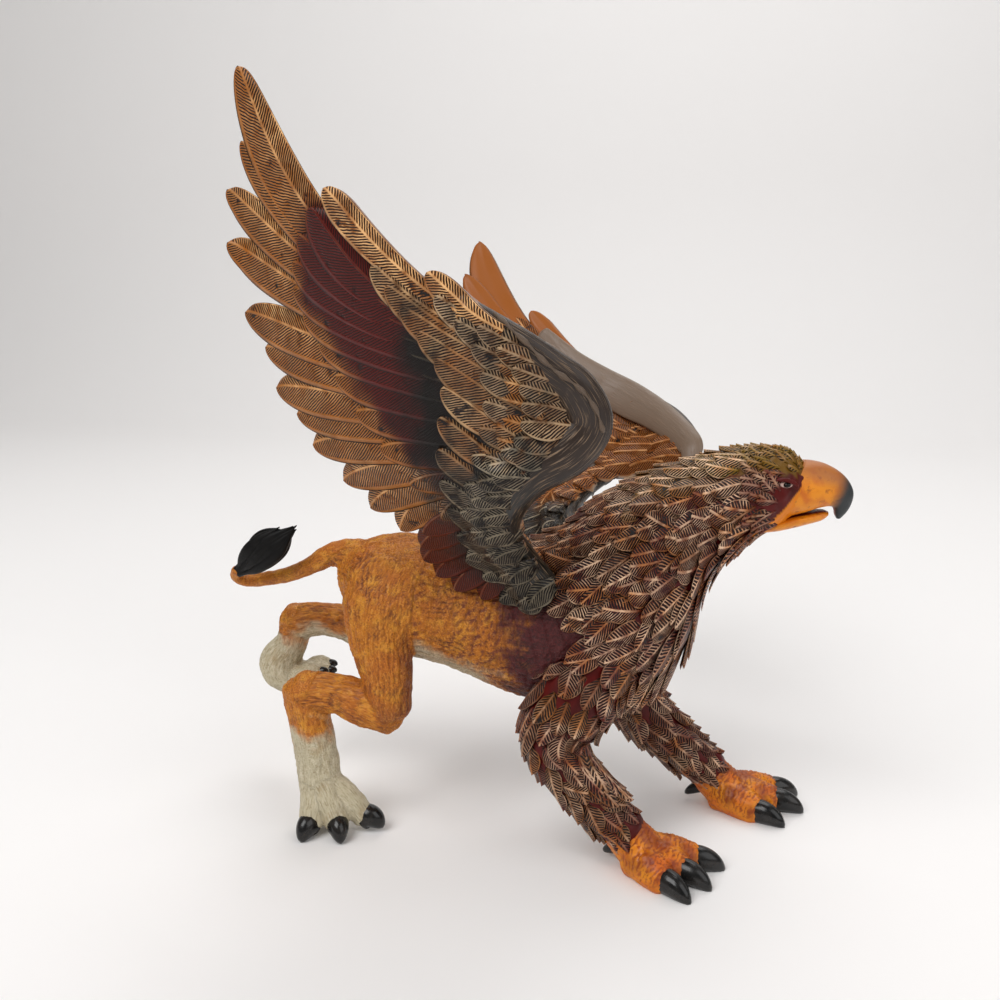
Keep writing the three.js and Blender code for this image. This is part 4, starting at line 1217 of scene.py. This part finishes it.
# Rows of wing feathers, from the longest to the shortest: how many, curves of their roots and tips as
# x and z, and the bow, the width and the taper along the row. level is the height over the sheet at
# the root and at the tip. A row with a side lies on that wing alone.
WING_ROWS = {
    "flight": dict(
        count=12, roots=[[-14, 50], [-3, 40], [0, 29], [-4, 18]], tips=FLIGHT_TIPS,
        sag=[7.1, 4.6, 3.5, 2.6, 1.7, 0.8, 0, -0.9, -1.8, -2.7, -3.6, -4.5],
        width=[8.8, 6.2, 7.2, 7.8, 8, 8.2, 8.2, 8.4, 8.4, 8.4, 8.4, 8.4],
        taper=[2, 1.5, 1.5, 1.4, 1.3, 1.3, 1.3, 1.3, 1.2, 1.2, 1.2, 1.2], level=[0.3, 0.3], drape=0.4),
    "inner": dict(
        count=7, roots=[[-5, 16], [-5.5, 8], [-1, 0]],
        tips=[[-21.5, 9], [-23, 2], [-17.6, -4.4], [-6.5, -7.2]],
        sag=[-2, -1], width=[7.8, 6.6], level=[0.6, 0.5], drape=0.4),
    "greater": dict(
        count=11, roots=[[-12, 48], [-1, 40], [1, 29], [-4, 16]],
        tips=[[-35, 66], [-39.4, 59], [-40, 52], [-36, 44.5], [-31, 35], [-24, 25], [-17, 13]],
        sag=[3.5, -3], width=[7.6, 7.4], level=[0.9, 0.8], drape=0.6),
    "median": dict(
        count=12, roots=[[-6, 46.5], [1, 40], [2, 31], [-3, 20], [-6, 7], [-3, -1]],
        tips=[[-24, 57], [-19, 50], [-13.5, 41], [-14.6, 30], [-15.2, 17], [-14.5, 3]],
        sag=[1.8, -1.2], width=[6, 6], level=[0.7, 1.3], drape=0.8),
    "small": dict(
        count=13, roots=[[0, 45], [4.6, 40], [4, 32], [-1, 26], [-4, 16], [-4.6, 5], [0, -4]],
        tips=[[-13.5, 52.4], [-8, 45], [-6.6, 36], [-9, 27], [-13, 15], [-14, 4], [-8.6, -6]],
        sag=[1.0, -0.8], width=[5.2, 5.4], level=[-1.3, 1.8]),
    "least": dict(
        count=16,
        roots=[[3, 43], [6.6, 38.6], [7.6, 34.6], [7, 30.6], [3.4, 27.4], [-1, 22.6], [-4, 15],
               [-3.8, 6], [1.6, -3]],
        tips=[[-6.6, 48], [-2, 42], [-0.6, 36.6], [-1.4, 31], [-5, 27], [-9, 21], [-11, 13],
              [-10.4, 4], [-5, -6]],
        sag=[0.6, -0.5], width=[4.4, 5], level=[-2, 1.9]),
    "shoulder": dict(
        side="right", count=8,
        roots=[[1, 25.4], [-3.2, 19], [-4.8, 13], [-4, 6], [-1.6, 0.6], [0.6, -4]],
        tips=[[-6.6, 27], [-10.6, 19.6], [-12, 12], [-10.6, 4], [-8, -2.4], [-4.6, -7]],
        sag=[0.6, -0.5], width=[5.2, 5.4], level=[-1, 1.5]),
    "front": dict(
        side="right", count=8,
        roots=[[4, 27], [0, 21.8], [-1.9, 16.6], [-3, 10.4], [-1.8, 4.6], [2.2, -1.6]],
        tips=[[-2.6, 28.6], [-6, 22.6], [-8, 16], [-8.6, 9], [-7, 1.6], [-2, -5.4]],
        sag=[0.5, -0.5], width=[4.6, 5], level=[-1, 1.4]),
    "wrist": dict(
        side="left", count=7, roots=[[9, 37], [13, 32.4], [15.6, 28], [12, 25.6], [4, 24.6]],
        tips=[[1, 35], [4.6, 31], [6.6, 27.4], [3, 25], [-5, 24]],
        sag=[0.4, -0.4], width=[4.6, 5], level=[0.6, 1.4]),
}
# Two more feathers along the leading edge, of which the left wing has the first
LEADING_FEATHERS = {
    "roots": [[-9, 49], [-3.2, 47]], "tips": [[-31.8, 68.6], [-14.8, 55.9]],
    "sag": [1.6, 0.9], "width": [5.2, 4.6], "level": [1.0, 1.4],
}
# The smooth band along the leading edge's inner face: stations like an arm's
BANDS = {
    "right": [
        [9, 30, 1, 2], [8.6, 33.8, 1.2, 3.6], [5.6, 38.2, 1.2, 4], [0.4, 42, 1.1, 4],
        [-6.6, 46, 0.9, 2.8], [-13.6, 50, 0.6, 1.6],
    ],
    "left": [
        [16.4, 26, 1, 2.2], [15.6, 29.2, 1.2, 3], [11, 33.8, 1.3, 3.4], [4.6, 38.8, 1.3, 4],
        [-3, 43.4, 1.2, 4.6], [-11, 48.2, 1.1, 4.2], [-19, 54, 0.9, 3.2], [-27, 61.4, 0.6, 2],
    ],
}
# The bright ridge that bounds the near arm's feathers: x and z
RIDGE = [
    [-4, 49.4], [-1.6, 47.2], [0.8, 45], [3, 42.6], [5.4, 40.6], [7.6, 39], [9.4, 37.2], [11, 34.6],
    [11.8, 32],
]
# Borders of the paint's zones on the sheet: z and the x from which the zone begins
WINE_BORDER = [(10, -13), (17, -15.8), (24, -18.7), (35, -28.2), (45.7, -34.2), (51.4, -40), (66, -37)]
SOOT_BORDER = [
    (-4, -14), (2, -17), (12, -16), (23, -17), (31, -20), (39, -18), (45, -20), (53, -10), (60, 2),
]


class GRIFFIN_OT_wings(bpy.types.Operator):
    """Lays both wings' flight feathers and coverts over their arms"""

    bl_idname = "griffin.wings"
    bl_label = "Wings"

    def execute(self, context):
        settings = context.scene.griffin_wings
        paint = plumage_paint(
            "Painted vinyl wing feathers", settings.barb_spacing, 0.55, "#3a2410", settings.bronze,
            settings.wine, settings.gilt, "#b98a5c", "#c9b79a", 0.38)
        skin = arm_paint()
        for side in ("right", "left"):
            self.feathers(side, paint)
            self.arm(side, skin)
        return {"FINISHED"}

    def feathers(self, side, paint):
        """A wing's rows of feathers, with roots and tips evenly along the curves that WING_ROWS gives:
        the flight feathers as one piece, and all the shorter ones as another."""
        coverts = []
        for name, row in WING_ROWS.items():
            if row.get("side", side) != side:
                continue
            count = row["count"]
            roots = along_curve(row["roots"], count)
            if side == "left":
                roots[:, 0] -= LEFT_ROOT_SHIFT * ramp(27, 19, roots[:, 1])
            made = blades(
                ARMS[side], roots, along_curve(row["tips"], count), spread(row["sag"], count),
                spread(row["width"], count), row["level"], row.get("drape", 1.0),
                spread(row.get("taper", [1, 1]), count))
            coverts.append(self.mesh(side, name, *made))
        piece(f"flight_feathers_{side}", coverts.pop(0), paint, "wings", f"wing_{side}")
        first = {name: values[:1] if side == "left" and name != "level" else values
                 for name, values in LEADING_FEATHERS.items()}
        coverts.append(self.mesh(side, "leading", *blades(ARMS[side], **first, tilt=0.2)))
        piece(f"coverts_{side}", joined(f"coverts_{side}", coverts), paint, "wings")

    def mesh(self, side, name, rings, masks):
        """The feathers' mesh, with where each paint lies: by the row and the place on the sheet. The
        black on the left wing's inner face near the shoulder is painted shade.
        """
        x, z = rings[..., 0], rings[..., 2]
        outer, share, aside = (masks.pop(key) for key in ("outer", "share", "aside"))
        ragged = wobble(rings, 7, 71) + 0.6 * wobble(rings, 2.5, 72)
        wine_from, soot_from = (
            np.interp(z, *np.array(border, float).T) for border in (WINE_BORDER, SOOT_BORDER))
        low = ramp(28, 22, z)
        wine = ramp(-2, 2.5, x - wine_from + ragged) * ramp(70, 65, z + ragged)
        wine *= np.maximum(ramp(-4, -9, x + ragged), low)
        soot = ramp(-5, 3, x - soot_from + 2 * ragged) * outer * np.maximum(ramp(-2, -7, x + ragged), low)
        warm, brush, engraved = 0.85 + 0.15 * ragged, 0.62 - 0.5 * aside, outer
        if name in ("flight", "greater"):
            brush = brush * (1 - 0.88 * wine) * (1 - 0.5 * ramp(0.86, 0.96, share))
            engraved = outer * (1 - 0.4 * wine)
        elif name == "inner":
            wine, soot, brush = 0.9 + 0 * x, outer * ramp(0.85, 0.4, share), 0.12 + 0 * x
            engraved = 0.5 * outer
        elif name == "leading":
            wine, soot, brush = 0.15 + 0 * x, 0 * x, 0.9 + 0 * x
        else:
            base = 0.25 if name == "median" else 0.6
            low = ramp(30, 20, z + 3 * ragged)
            wine, soot = 0 * x, outer * np.clip(0.9 * low + base, 0, 1)
            warm, brush = 0.4 + 0.4 * ragged, 0.6 - 0.2 * low
        inner_face = 0.0
        if name not in ("flight", "leading"):
            inner_face = 0.7
            shades = np.random.default_rng(80 + len(rings)).uniform(0.45, 1.15, len(rings))
            brush = brush * shades[:, None, None]
        # Painted shade: the left wing's inner face turns black towards the shoulder, where it sinks into
        # the recess by the neck.
        if side == "left":
            soot = np.where(outer > 0, soot, ramp(17, 10, z + ragged))
        mesh = shells_mesh(f"{name}_{side}", on_shoulder(side, rings))
        set_paint(
            mesh, warm=np.clip(warm, 0, 1) * outer, wine=wine * outer, soot=soot,
            ochre=(1 - outer) * (1 - soot), engraved=np.where(outer > 0, engraved, inner_face),
            brush=np.where(outer > 0, brush, 0.7 * inner_face), **masks)
        return mesh

    def arm(self, side, paint):
        """The arm's skin: ovals along the arm, a flatter stack of them as the band on its inner face, and
        on the near wing a thin ridge on its outer face."""
        arm = np.array(ARMS[side])
        skins = [
            self.skin("arm", side, arm, raised=0, pale=0.0, brush=0.8),
            self.skin("band", side, BANDS[side], raised=2.9, pale=1.0, brush=0.3),
        ]
        if side == "right":
            ridge = along_curve(RIDGE, 24)
            size = 0.32 * (1 + 0.55 * np.sin(1.7 * np.arange(24)))
            raised = -0.3 - 1.05 * arm_bulge(ridge[:, 0], ridge[:, 1], arm)
            stations = np.column_stack([ridge, size, size])
            skins.append(self.skin("ridge", side, stations, raised, pale=0.5, brush=1.4))
        piece(f"wing_arm_{side}", joined(f"wing_arm_{side}", skins), paint, "wings")

    def skin(self, name, side, stations, raised, pale, brush):
        """Ovals along a path on the sheet, raised inward, with the distances that the hair lines read."""
        x, z, thick, deep = np.array(stations, float).T
        path = np.column_stack([x, sheet(x, z) + raised, z, thick, deep])
        rings = domed(rings_on(limb_surface(path), 90, 40), 1.0)
        mesh = shells_mesh(name, on_shoulder(side, rings)[None])
        wide = np.ones(rings.shape[:2])
        set_paint(
            mesh, along=travelled(rings.mean(axis=1))[:, None] * wide, around=4 * turns(40) * wide,
            soot=ramp(27, 17, rings[..., 2]), pale=pale * wide, brush=brush * wide)
        return mesh


# Stage

CAMERA_PLACE = (38.4, -196.7, 115.0)
CAMERA_TURN = 9.0
CAMERA_DIP = 12.5
# Where the lights aim, in metres
AIM = (0, 0, 0.06)


class GRIFFIN_OT_stage(bpy.types.Operator):
    """Sets the pale floor, the soft light and the camera at the photograph's angle"""

    bl_idname = "griffin.stage"
    bl_label = "Stage"

    def execute(self, context):
        settings = context.scene.griffin_stage
        self.floor(settings)
        self.lights(settings)
        self.camera()
        return {"FINISHED"}

    def floor(self, settings):
        """A sweep 3.2 m wide: flat to 0.5 m behind the figure, a quarter circle of 0.2 m, then a wall."""
        bend = np.linspace(0, math.pi / 2, 13)
        curve = np.stack([0.5 + 0.2 * np.sin(bend), 0.2 - 0.2 * np.cos(bend)], axis=1)
        profile = np.concatenate([[[-1.2, 0]], curve, [[0.7, 1.4]]])
        edges = [np.insert(profile, 0, x, axis=1) for x in (-1.6, 1.6)]
        points = np.stack(edges, axis=1).reshape(-1, 3)
        quads = (np.arange(0, len(points) - 2, 2)[:, None] + np.array([0, 1, 3, 2])).ravel()
        mesh = mesh_of("floor", points, quads, np.arange(0, len(quads), 4))
        mesh.materials.append(plain_paint("Matt paper sweep", 0.9, settings.floor, grain=9, depth=0.0))
        made = placed("floor", mesh)

    def lights(self, settings):
        """Three square lights that aim at the figure, and a faint even light from all round."""
        for name, place, size, power in (
            ("key_light", (-0.35, -0.55, 0.75), 0.6, settings.key_power),
            ("fill_light", (0.6, -0.35, 0.5), 0.7, 0.4 * settings.key_power),
            ("back_light", (0.1, 0.35, 0.8), 0.6, 0.5 * settings.key_power),
        ):
            light = bpy.data.lights.new(name, "AREA")
            light.size = size
            light.energy = power
            made = placed(name, light)
            made.location = place
            towards = Vector(AIM) - Vector(place)
            made.rotation_euler = towards.to_track_quat("-Z", "Y").to_euler()
        world = bpy.data.worlds.new("Soft daylight")
        world.use_nodes = True
        background = world.node_tree.nodes["Background"].inputs
        background["Color"].default_value = colour("#f3f1ee")
        background["Strength"].default_value = 0.2
        bpy.context.scene.world = world
        bpy.context.scene.view_settings.view_transform = "Standard"

    def camera(self):
        """The photograph's camera: a 36 mm lens on a 36 mm wide frame."""
        lens = bpy.data.cameras.new("camera")
        lens.lens = 36
        lens.sensor_width = 36
        lens.clip_start = 0.01
        made = placed("camera", lens)
        made.location = to_frame(CAMERA_PLACE)
        made.rotation_euler = (math.radians(90 - CAMERA_DIP), 0, math.radians(CAMERA_TURN))
        bpy.context.scene.camera = made


class GRIFFIN_PT_panel(bpy.types.Panel):
    """Lists the figure's settings and the steps that build it"""

    bl_idname = "GRIFFIN_PT_panel"
    bl_label = "Griffin figurine"
    bl_space_type = "VIEW_3D"
    bl_region_type = "UI"
    bl_category = "Griffin"

    def draw(self, context):
        for group in GROUPS:
            settings = getattr(context.scene, group)
            for name in settings.bl_rna.properties.keys():
                if name not in ("rna_type", "name"):
                    self.layout.prop(settings, name)
        for operator in OPERATORS:
            self.layout.operator(operator.bl_idname)


GROUPS = {
    "griffin_fur": GriffinFur,
    "griffin_plumage": GriffinPlumage,
    "griffin_wings": GriffinWings,
    "griffin_stage": GriffinStage,
}
OPERATORS = (
    GRIFFIN_OT_stage,
    GRIFFIN_OT_coat,
    GRIFFIN_OT_face,
    GRIFFIN_OT_plumage,
    GRIFFIN_OT_feet,
    GRIFFIN_OT_tuft,
    GRIFFIN_OT_wings,
)


def register():
    for made in (*GROUPS.values(), *OPERATORS, GRIFFIN_PT_panel):
        bpy.utils.register_class(made)
    for name, group in GROUPS.items():
        setattr(bpy.types.Scene, name, bpy.props.PointerProperty(type=group))


def unregister():
    for name in GROUPS:
        delattr(bpy.types.Scene, name)
    for made in reversed((*GROUPS.values(), *OPERATORS, GRIFFIN_PT_panel)):
        bpy.utils.unregister_class(made)


def main():
    register()
    bpy.ops.griffin.stage()
    bpy.ops.griffin.coat()
    bpy.ops.griffin.face()
    bpy.ops.griffin.plumage()
    bpy.ops.griffin.feet()
    bpy.ops.griffin.tuft()
    bpy.ops.griffin.wings()


if __name__ == "__main__":
    main()
